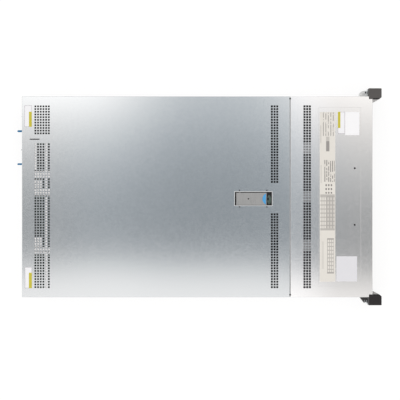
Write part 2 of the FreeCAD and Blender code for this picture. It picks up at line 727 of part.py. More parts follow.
def carrier_lever(column):
    """Handle across the bay, on a pin at its left end as the server sees it."""
    name = f"carrier_lever_{column + 1}"
    right, left = carrier_sides(column)
    low = f"({row_floor(DRIVE_ROW)} + {BEZEL_RIM} + slide_gap)"
    high = f"({row_floor(DRIVE_ROW)} + carrier_height - {BEZEL_RIM} - slide_gap)"
    pivot = (f"bezel_front - {PIVOT_INSET / 2}", f"{left} - {PIVOT_INSET}")
    body = new_body(name + "_handle")
    plan = sketch(body, name + "_plan", "XY_Plane", low)
    back = f"{pivot[0]} - {LEVER_THICK / 2}"
    front = f"{pivot[0]} + {LEVER_THICK / 2}"
    polygon(plan, [(back, f"{right} + 16"), (front, f"{right} + 16"), (front, f"{pivot[1]} + 2.4"),
                   (back, f"{pivot[1]} + 2.4")])
    pad(body, plan, f"{high} - {low}")
    doc.recompute()
    air = sketch(body, name + "_air", "YZ_Plane", "bezel_front")
    slot_width = "(carrier_width - 42) / 9"
    first = f"{right} + 22"
    rectangle(air, (first, f"{first} + {slot_width} * 0.7"), (f"{low} + 4", f"{high} - 4"))
    slots = pocket(body, air)
    doc.recompute()
    repeat(body, slots, air, "H_Axis", slot_width, 9)
    floor = row_floor(DRIVE_ROW)
    pin = drum(name + "_pin", "z", (f"{floor} + 0.3", f"{floor} + carrier_height - 0.3"), pivot, "1.2")
    return fuse(name, [body, pin])


def carrier_button(column):
    name = f"carrier_button_{column + 1}"
    right, left = carrier_sides(column)
    floor = row_floor(DRIVE_ROW)
    rim = f"({BEZEL_RIM} + slide_gap)"
    key = block(name + "_key", ("bezel_front - 6.8", "bezel_front - 0.4"),
                (f"{right} + {rim}", f"{right} + 15"),
                (f"{floor} + {rim}", f"{floor} + carrier_height - {rim}"))
    dip = block(name + "_dip", ("bezel_front - 1.2", "bezel_front"), (f"{right} + 5", f"{right} + 12"),
                (f"{floor} + 8", f"{floor} + carrier_height - 8"))
    return cut(name, key, [dip])


def drive_fillers():
    """Hollow covers for the empty bays."""
    fillers = []
    for column in COLUMNS:
        right, left = carrier_sides(column)
        for row in ROWS:
            if row == DRIVE_ROW:
                continue
            name = f"filler_{column}_{row}"
            low = row_floor(row)
            high = f"({low} + carrier_height)"
            shell = block(name + "_shell", ("bezel_front - 24", "bezel_front"), (right, left),
                          (low, high))
            hollow = block(name + "_hollow", ("bezel_front - 25", "bezel_front - 2"),
                           (f"{right} + 1.5", f"{left} - 1.5"), (f"{low} + 1.5", f"{high} - 1.5"))
            air = [block(f"{name}_air_{lane}", ("bezel_front - 3", "bezel_front + 1"),
                         (f"{right} + 18", f"{left} - 12"),
                         (f"{low} + {4.5 + 6.5 * lane}", f"{low} + {8.5 + 6.5 * lane}"))
                         for lane in range(3)]
            fillers.append(cut(name, cut(name + "_cup", shell, [hollow]), air))
    return gather("drive_fillers", fillers)


# Fans

def fan_centre(index):
    return f"({index - 1.5} * fan_pitch)"


def fan_cage():
    """Wall with an opening for each fan, a floor and partitions."""
    front = "fan_front + thin_sheet + seam_gap"
    wall = block("fan_wall", ("fan_front + seam_gap", front), ("-tray_inner", "tray_inner"),
                 ("tray_sheet", "wall_top - 0.5"))
    floor = block("fan_floor", ("fan_back", front), ("-tray_inner", "tray_inner"),
                  ("tray_sheet", "tray_sheet + thin_sheet"))
    holes = [drum(f"fan_opening_{index}", "x", ("fan_front - 1", "fan_front + 5"),
                  (fan_centre(index), "fan_middle"), "fan_size / 2 - 2.5") for index in FANS]
    partitions = [block(f"fan_partition_{index}", ("fan_back", "fan_front + seam_gap"),
                        (f"{index - 2} * fan_pitch - thin_sheet / 2",
                         f"{index - 2} * fan_pitch + thin_sheet / 2"),
                        ("tray_sheet", "fan_middle + 15")) for index in range(5)]
    return fuse("fan_cage", [cut("fan_wall_open", wall, holes), floor] + partitions)


def fan_frames():
    """Square frames with a motor seat held by four struts at the rear."""
    frames = []
    for index in FANS:
        name = f"fan_frame_{index + 1}"
        middle = fan_centre(index)
        shell = block(name + "_shell", ("fan_back", "fan_front"), about(middle, "fan_size / 2"),
                      about("fan_middle", "fan_size / 2"))
        bore = drum(name + "_bore", "x", ("fan_back - 1", "fan_front + 1"), (middle, "fan_middle"),
                    "fan_size / 2 - 2")
        seat = drum(name + "_seat", "x", ("fan_back", "fan_back + 4"), (middle, "fan_middle"), "16")
        struts = [
            block(name + "_strut_a", ("fan_back", "fan_back + 3"),
                  (f"{middle} - fan_size / 2 + 1", f"{middle} + fan_size / 2 - 1"),
                  about("fan_middle", "1.5")),
            block(name + "_strut_b", ("fan_back", "fan_back + 3"), about(middle, "1.5"),
                  ("fan_middle - fan_size / 2 + 1", "fan_middle + fan_size / 2 - 1")),
        ]
        solid = fuse(name + "_solid", [cut(name + "_ring", shell, [bore]), seat] + struts)
        shaft = drum(name + "_shaft", "x", ("fan_back - 1", "fan_back + 5"), (middle, "fan_middle"),
                     "2 + pin_gap")
        frames.append(cut(name, solid, [shaft]))
    return gather("fan_frames", frames)


BLADE_ROOT = 0.45
BLADE_PITCH = 45
BLADE_THICK = 1.6


def impeller(name, centre, hub_radius, tip_radius, length, shaft_radius, shaft_length, blades):
    """Hub on a shaft with pitched blades; the axis runs along X."""
    body = new_body(name)
    for along, place in zip("xyz", centre):
        body.setExpression("Placement.Base." + along, bound(place))
    hub = sketch(body, name + "_hub", "YZ_Plane", "0")
    circle(hub, ("0", "0"), hub_radius)
    pad(body, hub, length)
    shaft = sketch(body, name + "_shaft", "YZ_Plane", "0")
    circle(shaft, ("0", "0"), shaft_radius)
    pad(body, shaft, shaft_length, True)
    plan = sketch(body, name + "_blade", "XZ_Plane")
    plan.AttachmentOffset = Placement(Vector(), Rotation(Vector(0, 1, 0), BLADE_PITCH))
    plan.setExpression("AttachmentOffset.Base.x", bound(f"({length}) / 2"))
    tip_chord = f"((({length}) / 2 - 1.5) * sqrt(2))"
    root_chord = f"({BLADE_ROOT} * {tip_chord})"
    tip_height = f"sqrt(({tip_radius}) ^ 2 - (({length}) / 2 + 0.5) ^ 2)"
    root_height = f"({hub_radius}) - 2.5"
    polygon(plan, [(f"-{root_chord}", root_height), (root_chord, root_height),
                   (tip_chord, tip_height), (f"-{tip_chord}", tip_height)])
    blade = pad(body, plan, BLADE_THICK)
    doc.recompute()
    fan = body.newObject("PartDesign::PolarPattern", name + "_blades")
    fan.Originals = [blade]
    axis = next(item for item in body.Origin.OriginFeatures if item.Role == "X_Axis")
    fan.Axis = (axis, [""])
    fan.Angle = 360
    fan.Occurrences = blades
    body.Tip = fan
    return body


def fan_impeller(index):
    return impeller(f"fan_impeller_{index + 1}", ("fan_back + 5", fan_centre(index), "fan_middle"),
                    "15.5", "fan_size / 2 - 3.2", "fan_depth - 8", "2", "4.5", 7)


# Boards and cooling

def motherboard():
    """Board that gives way to the power supplies at its rear left."""
    body = new_body("motherboard")
    plan = sketch(body, "board_plan", "XY_Plane", "board_height")
    edge = "tray_inner - 3"
    polygon(plan, [
        ("rear_x + 4", f"-({edge})"), ("board_nose", f"-({edge})"), ("board_nose", edge),
        ("power_board_x + 12", edge), ("power_board_x + 12", "psu_wall_left - 5"),
        ("rear_x + 4", "psu_wall_left - 5"),
    ])
    pad(body, plan, "board_thick")
    return body


def processor_sockets():
    return gather("processor_sockets", [
        block(f"processor_socket_{side}", about("processor_x", "39"),
              about(f"{sign} * processor_offset", "28"), ("board_top", "board_top + 5"))
        for side, sign in SIDES])


def heatsinks():
    """Base plates with rows of fins along the air flow."""
    sinks = []
    for side, sign in SIDES:
        body = new_body(f"heatsink_{side}")
        base = sketch(body, f"heatsink_base_{side}", "XY_Plane", "board_top + 5")
        middle = f"({sign} * processor_offset)"
        rectangle(base, about("processor_x", "54"), about(middle, "39"))
        pad(body, base, "5")
        fin = sketch(body, f"heatsink_fin_{side}", "XY_Plane", "board_top + 10")
        rectangle(fin, about("processor_x", "54"), (f"{middle} - 39", f"{middle} - 38"))
        fins = pad(body, fin, "duct_height - board_top - 14")
        doc.recompute()
        repeat(body, fins, fin, "V_Axis", "77 / 21", 22)
        sinks.append(body)
    return gather("heatsinks", sinks)


def memory_lanes():
    """Centre lines of the memory sockets, eight on each side of each processor."""
    lanes = []
    for side, sign in SIDES:
        for away in (1, -1):
            for index in range(8):
                reach = f"(memory_start + {index} * memory_pitch)"
                lanes.append(f"({sign} * processor_offset + {away} * {reach})")
    return lanes


def memory_sockets():
    sockets = []
    for number, lane in enumerate(memory_lanes()):
        bar = block(f"memory_bar_{number}", about("processor_x", "71"),
                    about(lane, "0.4 * memory_pitch"), ("board_top", "board_top + 8"))
        slot = block(f"memory_slot_{number}", about("processor_x", "67"),
                     about(lane, "0.8"), ("board_top + 3", "board_top + 9"))
        sockets.append(cut(f"memory_socket_{number}", bar, [slot]))
    return gather("memory_sockets", sockets)


def memory_modules():
    """A module in every second socket."""
    modules = []
    for number, lane in enumerate(memory_lanes()[::2]):
        card = block(f"memory_card_{number}", about("processor_x", "66.7"),
                     about(lane, "0.7"), ("board_top + 3", "board_top + 34"))
        chips = block(f"memory_chips_{number}", about("processor_x", "60"),
                      about(lane, "1.8"), ("board_top + 13", "board_top + 31"))
        modules.append(fuse(f"memory_module_{number}", [card, chips]))
    return gather("memory_modules", modules)


def air_duct():
    """Hood from the fans over the processors, standing on the motherboard."""
    side = "(tray_inner - 4)"
    hood = block("duct_hood", ("processor_x - 80", "fan_back - 4"), (f"-{side}", side),
                 ("board_top", "duct_height"))
    tunnel = block("duct_tunnel", ("processor_x - 81", "fan_back"), (f"-{side} + 1.6", f"{side} - 1.6"),
                   ("0", "duct_height - 1.6"))
    ribs = [block(f"duct_rib_{index}", ("processor_x - 80", "fan_back - 4"), about(place, "0.8"),
                  ("board_top + 37", "duct_height - 1"))
            for index, place in enumerate(("(processor_offset - 42.5)", "-(processor_offset - 42.5)"))]
    return fuse("air_duct", [cut("duct_shell", hood, [tunnel])] + ribs)


# Expansion slots: each riser cage from one side to the other, its foot, slots and lids

CAGES = (
    ("a", "3", "120", "bay_top + thin_sheet + 0.4", 2,
     (("4", "17", 63), ("20", "38", 45), ("43", "57", 63), ("60", "119", 32))),
    ("b", "-119", "0", "io_top", 3, (("-118", "-112", 63), ("-111", "-90", 45))),
    ("c", "-tray_inner + 2", "-122", "io_top", 3, (("-128", "-123", 63),)),
)


def slot_floor(index):
    return f"(riser_top - {index + 0.8} * slot_step)"


def riser_cages():
    """Rear plates with slots, side walls and rails under the rear vents."""
    cages = []
    for name, right, left, foot, slots, lids in CAGES:
        label = f"riser_cage_{name}"
        sheet = "thin_sheet"
        plate = block(label + "_plate", ("rear_x", f"rear_x + {sheet}"), (right, left),
                      (foot, "riser_top"))
        windows = [block(f"{label}_window_{index}", ("rear_x - 1", f"rear_x + {sheet} + 1"),
                         (f"{right} + 7", f"{left} - 7"),
                         (slot_floor(index), f"{slot_floor(index)} + slot_height"))
                   for index in range(slots)]
        walls = [block(f"{label}_wall_{side}", ("rear_x", "rear_x + riser_depth"), span,
                       (foot, "riser_top"))
                 for side,
                 span in (("right", (right, f"{right} + {sheet}")),
                          ("left", (f"{left} - {sheet}", left)))]
        rail = block(label + "_rail", ("rear_x + 51", "rear_x + 57"), (right, left),
                     (f"riser_top - {sheet}", "riser_top"))
        covers = [block(f"{label}_lid_{index}", ("rear_x", f"rear_x + {reach}"), (near, far),
                        (f"riser_top - {sheet}", "riser_top"))
                  for index, (near, far, reach) in enumerate(lids)]
        cages.append(fuse(label, [cut(label + "_face", plate, windows), rail] + walls + covers))
    return gather("riser_cages", cages)


def riser_boards():
    """Upright boards with card sockets, each along the left wall of its cage."""
    boards = []
    for name, right, left, foot, slots, lids in CAGES:
        label = f"riser_board_{name}"
        face = f"({left} - thin_sheet)"
        card = block(label + "_card", ("rear_x + 20", "rear_x + riser_depth - 5"),
                     (f"{face} - board_thick", face),
                     (foot, "riser_top - 3"))
        sockets = [block(f"{label}_socket_{index}", ("rear_x + 62", "rear_x + 151"),
                         (f"{face} - board_thick - 11", f"{face} - board_thick"),
                         (f"{slot_floor(index)} + 0.1 * slot_step",
                          f"{slot_floor(index)} + 0.475 * slot_step"))
                         for index in range(slots)]
        boards.append(fuse(label, [card] + sockets))
    return gather("riser_boards", boards)


def slot_covers():
    """Blank plates behind the windows of the riser cages."""
    covers = []
    for name, right, left, foot, slots, lids in CAGES:
        for index in range(slots):
            label = f"slot_cover_{name}_{index}"
            low = slot_floor(index)
            plate = block(label + "_plate", ("rear_x + thin_sheet", "rear_x + 2 * thin_sheet"),
                          (f"{right} + 3", f"{left} - 3"),
                          (f"{low} - slot_rim", f"{low} + slot_height + slot_rim"))
            span = f"(({left}) - ({right}) - 20)"
            air = [block(f"{label}_air_{lane}", ("rear_x", "rear_x + 5"),
                         (f"{right} + 10 + {lane} * {span} / 4 + 2",
                          f"{right} + 10 + ({lane} + 1) * {span} / 4 - 2"),
                         (f"{low} + slot_rim", f"{low} + slot_height - slot_rim")) for lane in range(4)]
            covers.append(cut(label, plate, air))
    return gather("slot_covers", covers)


# Rear wall and ports

PORT_DEPTH = 21
JACK_PLACES = {"manage": 41.4, "net_1": 123.4, "net_2": 140.4, "net_3": 157.4, "net_4": 174.4}
JACKS = [(name, f"(psu_wall_left - {away})") for name, away in JACK_PLACES.items()]
USB_Y = "(psu_wall_left - 16.4)"
VIDEO_Y = "(psu_wall_left - 79.4)"


def network_jacks():
    jacks = []
    for name, middle in JACKS:
        shell = block(f"jack_{name}_shell", ("port_face", f"port_face + {PORT_DEPTH}"),
                      about(middle, "jack_width / 2"), ("board_top", "board_top + jack_height"))
        mouth = block(f"jack_{name}_mouth", ("port_face - 1", f"port_face + {PORT_DEPTH - 5}"),
                      about(middle, "5.9"), ("board_top + 3.4", "board_top + jack_height - 2"))
        notch = block(f"jack_{name}_notch", ("port_face - 1", f"port_face + {PORT_DEPTH - 5}"),
                      about(middle, "3.1"), ("board_top + 1.2", "board_top + jack_height - 4"))
        jacks.append(cut(f"jack_{name}", shell, [fuse(f"jack_{name}_hollow", [mouth, notch])]))
    return gather("network_jacks", jacks)


def rear_ports():
    """Stacked pair of USB sockets and a video socket."""
    shell = block("usb_shell", ("port_face", f"port_face + {PORT_DEPTH - 3}"), about(USB_Y, "6.8"),
                  ("board_top", "board_top + jack_height"))
    mouths = []
    tongues = []
    for level in (0, 1):
        low = f"(board_top + 0.9 + {level} * 6.1)"
        mouths.append(block(f"usb_mouth_{level}", ("port_face - 1", f"port_face + {PORT_DEPTH - 7}"),
                            about(USB_Y, "6"), (low, f"{low} + 5")))
        tongues.append(block(f"usb_tongue_{level}", ("port_face + 2", f"port_face + {PORT_DEPTH - 6}"),
                             about(USB_Y, "5"), (f"{low} + 2.9", f"{low} + 4.2")))
    usb = fuse("usb_sockets", [cut("usb_body", shell, mouths)] + tongues)
    base = block("video_base", ("port_face + 1.5", f"port_face + {PORT_DEPTH - 5}"),
                 about(VIDEO_Y, "15.4"),
                 ("board_top", "board_top + 12.5"))
    nose = block("video_nose", ("port_face - 3.5", "port_face + 2"), about(VIDEO_Y, "8.3"),
                 ("board_top + 2.2", "board_top + 10.3"))
    nuts = [drum(f"video_nut_{side}", "x", ("port_face - 3", "port_face + 2"),
                 (f"{VIDEO_Y} + {sign * 12.5}", "board_top + 6.2"), "2.4")
            for side, sign in SIDES]
    return gather("rear_ports", [usb, fuse("video_socket", [base, nose] + nuts)])


AIR_START = 130


def rear_wall():
    """Wall with openings for the power supplies, the riser cages and every port."""
    body = new_body("rear_wall")
    face = sketch(body, "rear_face", "YZ_Plane", "rear_x")
    rectangle(face, ("-tray_inner", "tray_inner"), ("tray_sheet", "wall_top"))
    pad(body, face, "tray_sheet")
    openings = sketch(body, "rear_openings", "YZ_Plane", "rear_x + 2 * tray_sheet")
    rectangle(openings, ("psu_wall_left", "tray_inner - 0.2"), ("psu_floor - 0.2", "bay_top"))
    for name, right, left, foot, slots, lids in CAGES:
        rectangle(openings, (f"{right} - seam_gap", f"{left} + seam_gap"),
                  (f"{foot} - seam_gap", "wall_top + 1"))
    for name, middle in JACKS:
        rectangle(openings, (f"{middle} - jack_width / 2 - 0.2", f"{middle} + jack_width / 2 + 0.2"),
                  ("board_top - 0.2", "board_top + jack_height + 0.2"))
    rectangle(openings, about(USB_Y, "7.1"), ("board_top - 0.3", "board_top + jack_height + 0.3"))
    rectangle(openings, about(VIDEO_Y, "15.7"), ("board_top - 0.3", "board_top + 12.8"))
    pocket(body, openings)
    doc.recompute()
    air = sketch(body, "rear_air", "YZ_Plane", "rear_x + 2 * tray_sheet")
    wall_half = chassis_half() - size("cover_sheet") - size("seam_gap") - size("tray_sheet")
    rectangle(air, (f"{AIR_START}", f"{AIR_START} + 4"), ("bay_top + 5", "wall_top - 5"))
    slots = pocket(body, air)
    doc.recompute()
    repeat(body, slots, air, "H_Axis", "vent_pitch", slot_count(wall_half - AIR_START - 7))
    side_air = sketch(body, "rear_side_air", "YZ_Plane", "rear_x + 2 * tray_sheet")
    rectangle(side_air, ("11 - tray_inner", "15 - tray_inner"), ("board_top", "board_top + 11"))
    side_slots = pocket(body, side_air)
    doc.recompute()
    last_jack = 2 * wall_half - 2 * size("psu_width") - JACK_PLACES["net_4"]
    repeat(body, side_slots, side_air, "H_Axis", "vent_pitch", slot_count(last_jack - 32))
    return body


# Power supplies

def psu_bay():
    """Sheet-metal bay that holds both power supplies side by side."""
    rear = "rear_x + tray_sheet"
    front = "power_board_x - 2"
    wall = block("psu_bay_wall", (rear, front), ("psu_wall_left - thin_sheet", "psu_wall_left"),
                 ("tray_sheet", "bay_top + thin_sheet"))
    roof = block("psu_bay_roof", (rear, front), ("psu_wall_left - thin_sheet", "tray_inner"),
                 ("bay_top", "bay_top + thin_sheet"))
    middle = block("psu_bay_middle", (rear, front),
                   ("psu_1_right - slide_gap - thin_sheet", "psu_1_right - slide_gap"),
                   ("tray_sheet", "bay_top + thin_sheet"))
    return fuse("psu_bay", [wall, roof, middle])


def power_board():
    board = block("power_board_card", ("power_board_x", "power_board_x + board_thick"),
                  ("psu_wall_left + 2", "tray_inner - 1"),
                  ("tray_sheet", "psu_floor + psu_height - 2"))
    sockets = [block(f"power_socket_{index}", ("psu_front + 0.6", "power_board_x + 0.5"),
                     (f"psu_{index}_right + 16", f"psu_{index}_left - 16"),
                     ("psu_floor + 12", "psu_floor + 24")) for index in (1, 2)]
    return fuse("power_board", [board] + sockets)


INLET_OFFSET = 20.5
FAN_OFFSET = 55
TAB_NEAR = 1.2
TAB_FAR = 4.7


def psu_case(index):
    """Case with openings for inlet, tab and fan; a cross behind the fan opening carries the bearing."""
    name = f"psu_{index}_case"
    right, left = f"psu_{index}_right", f"psu_{index}_left"
    top = "(psu_floor + psu_height)"
    shell = block(name + "_shell", ("psu_rear", "psu_front"), (right, left), ("psu_floor", top))
    hollow = block(name + "_hollow", ("psu_rear + psu_wall", "psu_front - psu_wall"),
                   (f"{right} + psu_wall", f"{left} - psu_wall"),
                   ("psu_floor + psu_wall", f"{top} - psu_wall"))
    fan_y = f"({right} + {FAN_OFFSET})"
    openings = [
        block(name + "_inlet_hole", ("psu_rear - 1", "psu_rear + 3"),
              (f"{right} + {INLET_OFFSET - 12.6}", f"{right} + {INLET_OFFSET + 12.6}"),
              about("psu_middle", "8.6")),
        block(name + "_tab_hole", ("psu_rear - 1", "psu_rear + 3"),
              (f"{right} + psu_wall", f"{right} + {TAB_FAR + 1.5}"),
              about("psu_middle", "8")),
        drum(name + "_fan_hole", "x", ("psu_rear - 1", "psu_rear + 3"), (fan_y, "psu_middle"),
             "psu_fan_radius"),
    ]
    for lane in range(6):
        openings.append(block(f"{name}_front_air_{lane}", ("psu_front - 3", "psu_front + 1"),
                              (f"{right} + {8 + 10 * lane}", f"{right} + {15 + 10 * lane}"),
                              ("psu_floor + 28", f"{top} - 5")))
    cross = [
        block(name + "_bar_a", ("psu_rear", "psu_rear + 1.2"),
              (f"{fan_y} - psu_fan_radius - 0.5", f"{fan_y} + psu_fan_radius + 0.5"),
              about("psu_middle", "0.8")),
        block(name + "_bar_b", ("psu_rear", "psu_rear + 1.2"), about(fan_y, "0.8"),
              ("psu_middle - psu_fan_radius - 0.5", "psu_middle + psu_fan_radius + 0.5")),
        drum(name + "_seat", "x", ("psu_rear", "psu_rear + 4"), (fan_y, "psu_middle"), "5"),
    ]
    guard = cut(name + "_guard",
                drum(name + "_guard_out", "x", ("psu_rear", "psu_rear + 1.2"), (fan_y, "psu_middle"),
                     "11.8"),
                [drum(name + "_guard_in", "x", ("psu_rear - 1", "psu_rear + 3"),
                      (fan_y, "psu_middle"), "10.4")])
    solid = fuse(name + "_solid",
                 [cut(name + "_open", cut(name + "_box", shell, [hollow]), openings), guard] + cross)
    bearing = drum(name + "_bearing", "x", ("psu_rear + 0.8", "psu_rear + 5"), (fan_y, "psu_middle"),
                   "1.5 + pin_gap")
    grip_y = f"({right} + 35)"
    grip = [block(f"{name}_grip_{place}", (f"psu_rear - {reach}", f"psu_rear - {start}"),
                  about(grip_y, "1.4"), span)
            for place, reach, start, span in (
                ("bar", 8.5, 5.5, ("psu_floor + 3", f"{top} - 3")),
                ("low", 6, 0, ("psu_floor + 3", "psu_floor + 6")),
                ("high", 6, 0, (f"{top} - 6", f"{top} - 3")))]
    return fuse(name, [cut(name + "_bored", solid, [bearing])] + grip)


def psu_inlet(index):
    """Power inlet: flange, shroud and three contact blades."""
    name = f"psu_{index}_inlet"
    middle = f"(psu_{index}_right + {INLET_OFFSET})"
    flange = block(name + "_flange", ("psu_rear - 1.5", "psu_rear"), about(middle, "13.8"),
                   about("psu_middle", "10.5"))
    shroud = block(name + "_shroud", ("psu_rear - 1.5", "psu_rear + 19"), about(middle, "12.4"),
                   about("psu_middle", "8.4"))
    well = block(name + "_well", ("psu_rear - 2", "psu_rear + 15"), about(middle, "11.4"),
                 about("psu_middle", "7.4"))
    blades = [block(f"{name}_blade_{number}", ("psu_rear + 2", "psu_rear + 16"),
                    (f"{middle} + {across} - 1", f"{middle} + {across} + 1"),
                    (f"psu_middle + {up} - 2", f"psu_middle + {up} + 2")) for number,
                    (across, up) in enumerate(((-7, -2), (7, -2), (0, 2)))]
    return fuse(name, [cut(name + "_cup", fuse(name + "_solid", [flange, shroud]), [well])] + blades)


def psu_tab(index):
    """Springy release tab that is pressed toward the inlet."""
    name = f"psu_{index}_tab"
    right = f"psu_{index}_right"
    body = new_body(name + "_body")
    plan = sketch(body, name + "_plan", "XY_Plane", "psu_middle - 7")
    near, far = f"{right} + {TAB_NEAR}", f"{right} + {TAB_FAR}"
    tip = "rear_x - tab_reach"
    polygon(plan, [("psu_rear + 14", near), ("psu_rear + 14", f"{near} + 1.6"), ("psu_rear + 3", far),
                   (f"{tip} + 2", far), (tip, f"{far} - 1"), (tip, near)])
    pad(body, plan, "14")
    bead = drum(name + "_bead", "z", about("psu_middle", "7"), ("psu_rear + 14", f"{near} + 0.8"), "0.8")
    return fuse(name, [body, bead])


def psu_impeller(index):
    return impeller(f"psu_{index}_impeller",
                    ("psu_rear + 5", f"psu_{index}_right + {FAN_OFFSET}", "psu_middle"),
                    "6.5", "psu_fan_radius - 0.8", "12", "1.5", "3.5", 5)


# Rack ears

BUTTON_RADIUS = {"power": 3.4, "locator": 2.4}
BUTTON_Z = {"power": "upper_hole_z + 11.5", "locator": "lower_hole_z - 11"}
BUTTON_DEPTH = 8.5
LATCH_PIN_X = "(ear_front - 17)"


def ear(side, sign, buttons):
    """Moulded end of the front with rack holes, a latch slot and button wells."""
    name = f"ear_{side}"
    body = new_body(name + "_body")
    plan = sketch(body, name + "_plan", "XY_Plane", "0.4")
    polygon(plan, [(x, f"{sign} * ({y})") for x, y in (
        ("ear_rear", "ear_inner"), ("ear_rear", "ear_outer"), ("ear_front - 1", "ear_outer"),
        ("ear_front", "ear_outer - 1"),
        ("ear_front", "ear_inner + 4"), ("ear_front - 4.5", "ear_inner"))])
    pad(body, plan, "chassis_height - 0.8")
    doc.recompute()
    holes = sketch(body, name + "_holes", "YZ_Plane", "ear_front + 1")
    for height in ("lower_hole_z", "upper_hole_z"):
        circle(holes, (f"{sign} * rack_hole_y", height), "rack_hole_radius")
    rectangle(holes, (f"{sign} * (ear_inner + 5)", f"{sign} * (ear_outer - 2.8)"),
              ("slot_low", "slot_high"))
    pocket(body, holes)
    tools = [drum(name + "_pin_hole", "z", ("slot_low - 1.2", "slot_high + 1.2"),
                  (LATCH_PIN_X, f"{sign} * ear_pin_y"), "1.5 + pin_gap")]
    for button in buttons:
        tools.append(drum(f"{name}_{button}_well", "x",
                          (f"ear_front - {BUTTON_DEPTH}", "ear_front + 1"),
                          (f"{sign} * ear_button_y", BUTTON_Z[button]),
                          f"{BUTTON_RADIUS[button]} + 2 * pin_gap"))
    return cut(name, body, tools)


def ear_button(button, sign):
    low = f"ear_front - {BUTTON_DEPTH} + 1.6"
    return drum(f"{button}_button", "x", (low, "ear_front - 0.3"),
                (f"{sign} * ear_button_y", BUTTON_Z[button]),
                f"{BUTTON_RADIUS[button]}")


def ear_brackets():
    """Angle plates between the ears and the chassis sides."""
    brackets = []
    for side, sign in SIDES:
        name = f"ear_bracket_{side}"
        body = new_body(name + "_body")
        plan = sketch(body, name + "_plan", "XY_Plane", "2")
        plate = "(tray_outer + tray_sheet)"
        polygon(plan, [(x, f"{sign} * ({y})") for x, y in (
            ("ear_rear - 64", "tray_outer"), ("ear_rear", "tray_outer"),
            ("ear_rear", "ear_outer - 0.3"),
            ("ear_rear - tray_sheet", "ear_outer - 0.3"), ("ear_rear - tray_sheet", plate),
            ("ear_rear - 64", plate))])
        pad(body, plan, "chassis_height - flange_height - 3")
        doc.recompute()
        holes = sketch(body, name + "_holes", "YZ_Plane", "ear_rear + 1")
        for height in ("lower_hole_z", "upper_hole_z"):
            circle(holes, (f"{sign} * rack_hole_y", height), "rack_hole_radius")
        rectangle(holes, (f"{sign} * (tray_outer + 2.4)", f"{sign} * (ear_outer - 2.8)"),
                  ("slot_low", "slot_high"))
        pocket(body, holes, "10")
        brackets.append(body)
    return gather("ear_brackets", brackets)


def ear_latch(side, sign, hook):
    """Paddle in the ear, a bar through it and a hook behind."""
    name = f"ear_latch_{side}"
    body = new_body(name + "_body")
    plan = sketch(body, name + "_plan", "XY_Plane", "slot_low + slide_gap")
    front = "ear_front - 0.8"
    polygon(plan, [(x, f"{sign} * ({y})") for x, y in [
        (front, "ear_pin_y - 4"), (front, "ear_pin_y + 6"), ("ear_front - 5", "ear_pin_y + 6"),
        ("ear_front - 9", "ear_pin_y + 3"),
        ("ear_rear - 4.5", "ear_pin_y + 3")] + hook + [("ear_rear - 4.5", "ear_pin_y - 3"),
                                                       ("ear_front - 9", "ear_pin_y - 3")]])
    pad(body, plan, "ear_slot_height - 2 * slide_gap")
    pin = drum(name + "_pin", "z", ("slot_low - 1", "slot_high + 1"),
               (LATCH_PIN_X, f"{sign} * ear_pin_y"), "1.5")
    return fuse(name, [body, pin])


LEFT_HOOK = [("ear_rear - 4.5", "ear_outer - 1.4"), ("ear_rear - 12", "ear_outer - 3.8"),
             ("ear_rear - 14.8", "ear_outer - 7"),
             ("ear_rear - 15.6", "tray_outer + 4.5"), ("ear_rear - 13.5", "tray_outer + 2.6")]
RIGHT_HOOK = [("ear_rear - 4.5", "ear_outer - 1.4"), ("ear_rear - 15.5", "tray_outer + 3.4"),
              ("ear_rear - 14.5", "tray_outer + 2.4")]


NODES = [
    chassis_tray(), rear_wall(), front_cover(), chassis_screws(),
    top_cover(), latch_pan(), latch_pin(), latch_lever(), latch_grip(), latch_lock(), cross_brace(),
    drive_cage(), drive_backplane(), drive_fillers(), fan_cage(), fan_frames(),
    motherboard(), processor_sockets(), heatsinks(), memory_sockets(), memory_modules(), air_duct(),
    riser_cages(), riser_boards(), slot_covers(), network_jacks(), rear_ports(), psu_bay(),
    power_board(),
    ear("left", 1, ("power", "locator")), ear("right", -1, ()), ear_brackets(),
    ear_latch("left", 1, LEFT_HOOK), ear_latch("right", -1, RIGHT_HOOK),
    ear_button("power", 1), ear_button("locator", 1),
]
NODES += [fan_impeller(index) for index in FANS]
for make in (drive_carrier, carrier_lever, carrier_button):
    NODES += [make(column) for column in COLUMNS]
for make in (psu_case, psu_inlet, psu_tab, psu_impeller):
    NODES += [make(index) for index in (1, 2)]

doc.recompute()
for item in doc.Objects:
    if "Invalid" in item.State or "Error" in item.State:
        raise RuntimeError(f"{item.Name} did not compute: {item.State}")

os.makedirs("parts", exist_ok=True)
for node in NODES:
    node.Label = node.Name
    if node.Shape.isNull() or not node.Shape.isValid():
        raise RuntimeError(f"{node.Name} has no valid shape")
    node.Shape.exportStep(f"parts/{node.Label}.step")
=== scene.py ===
import json

import bmesh
import bpy
from mathutils import Matrix, Vector


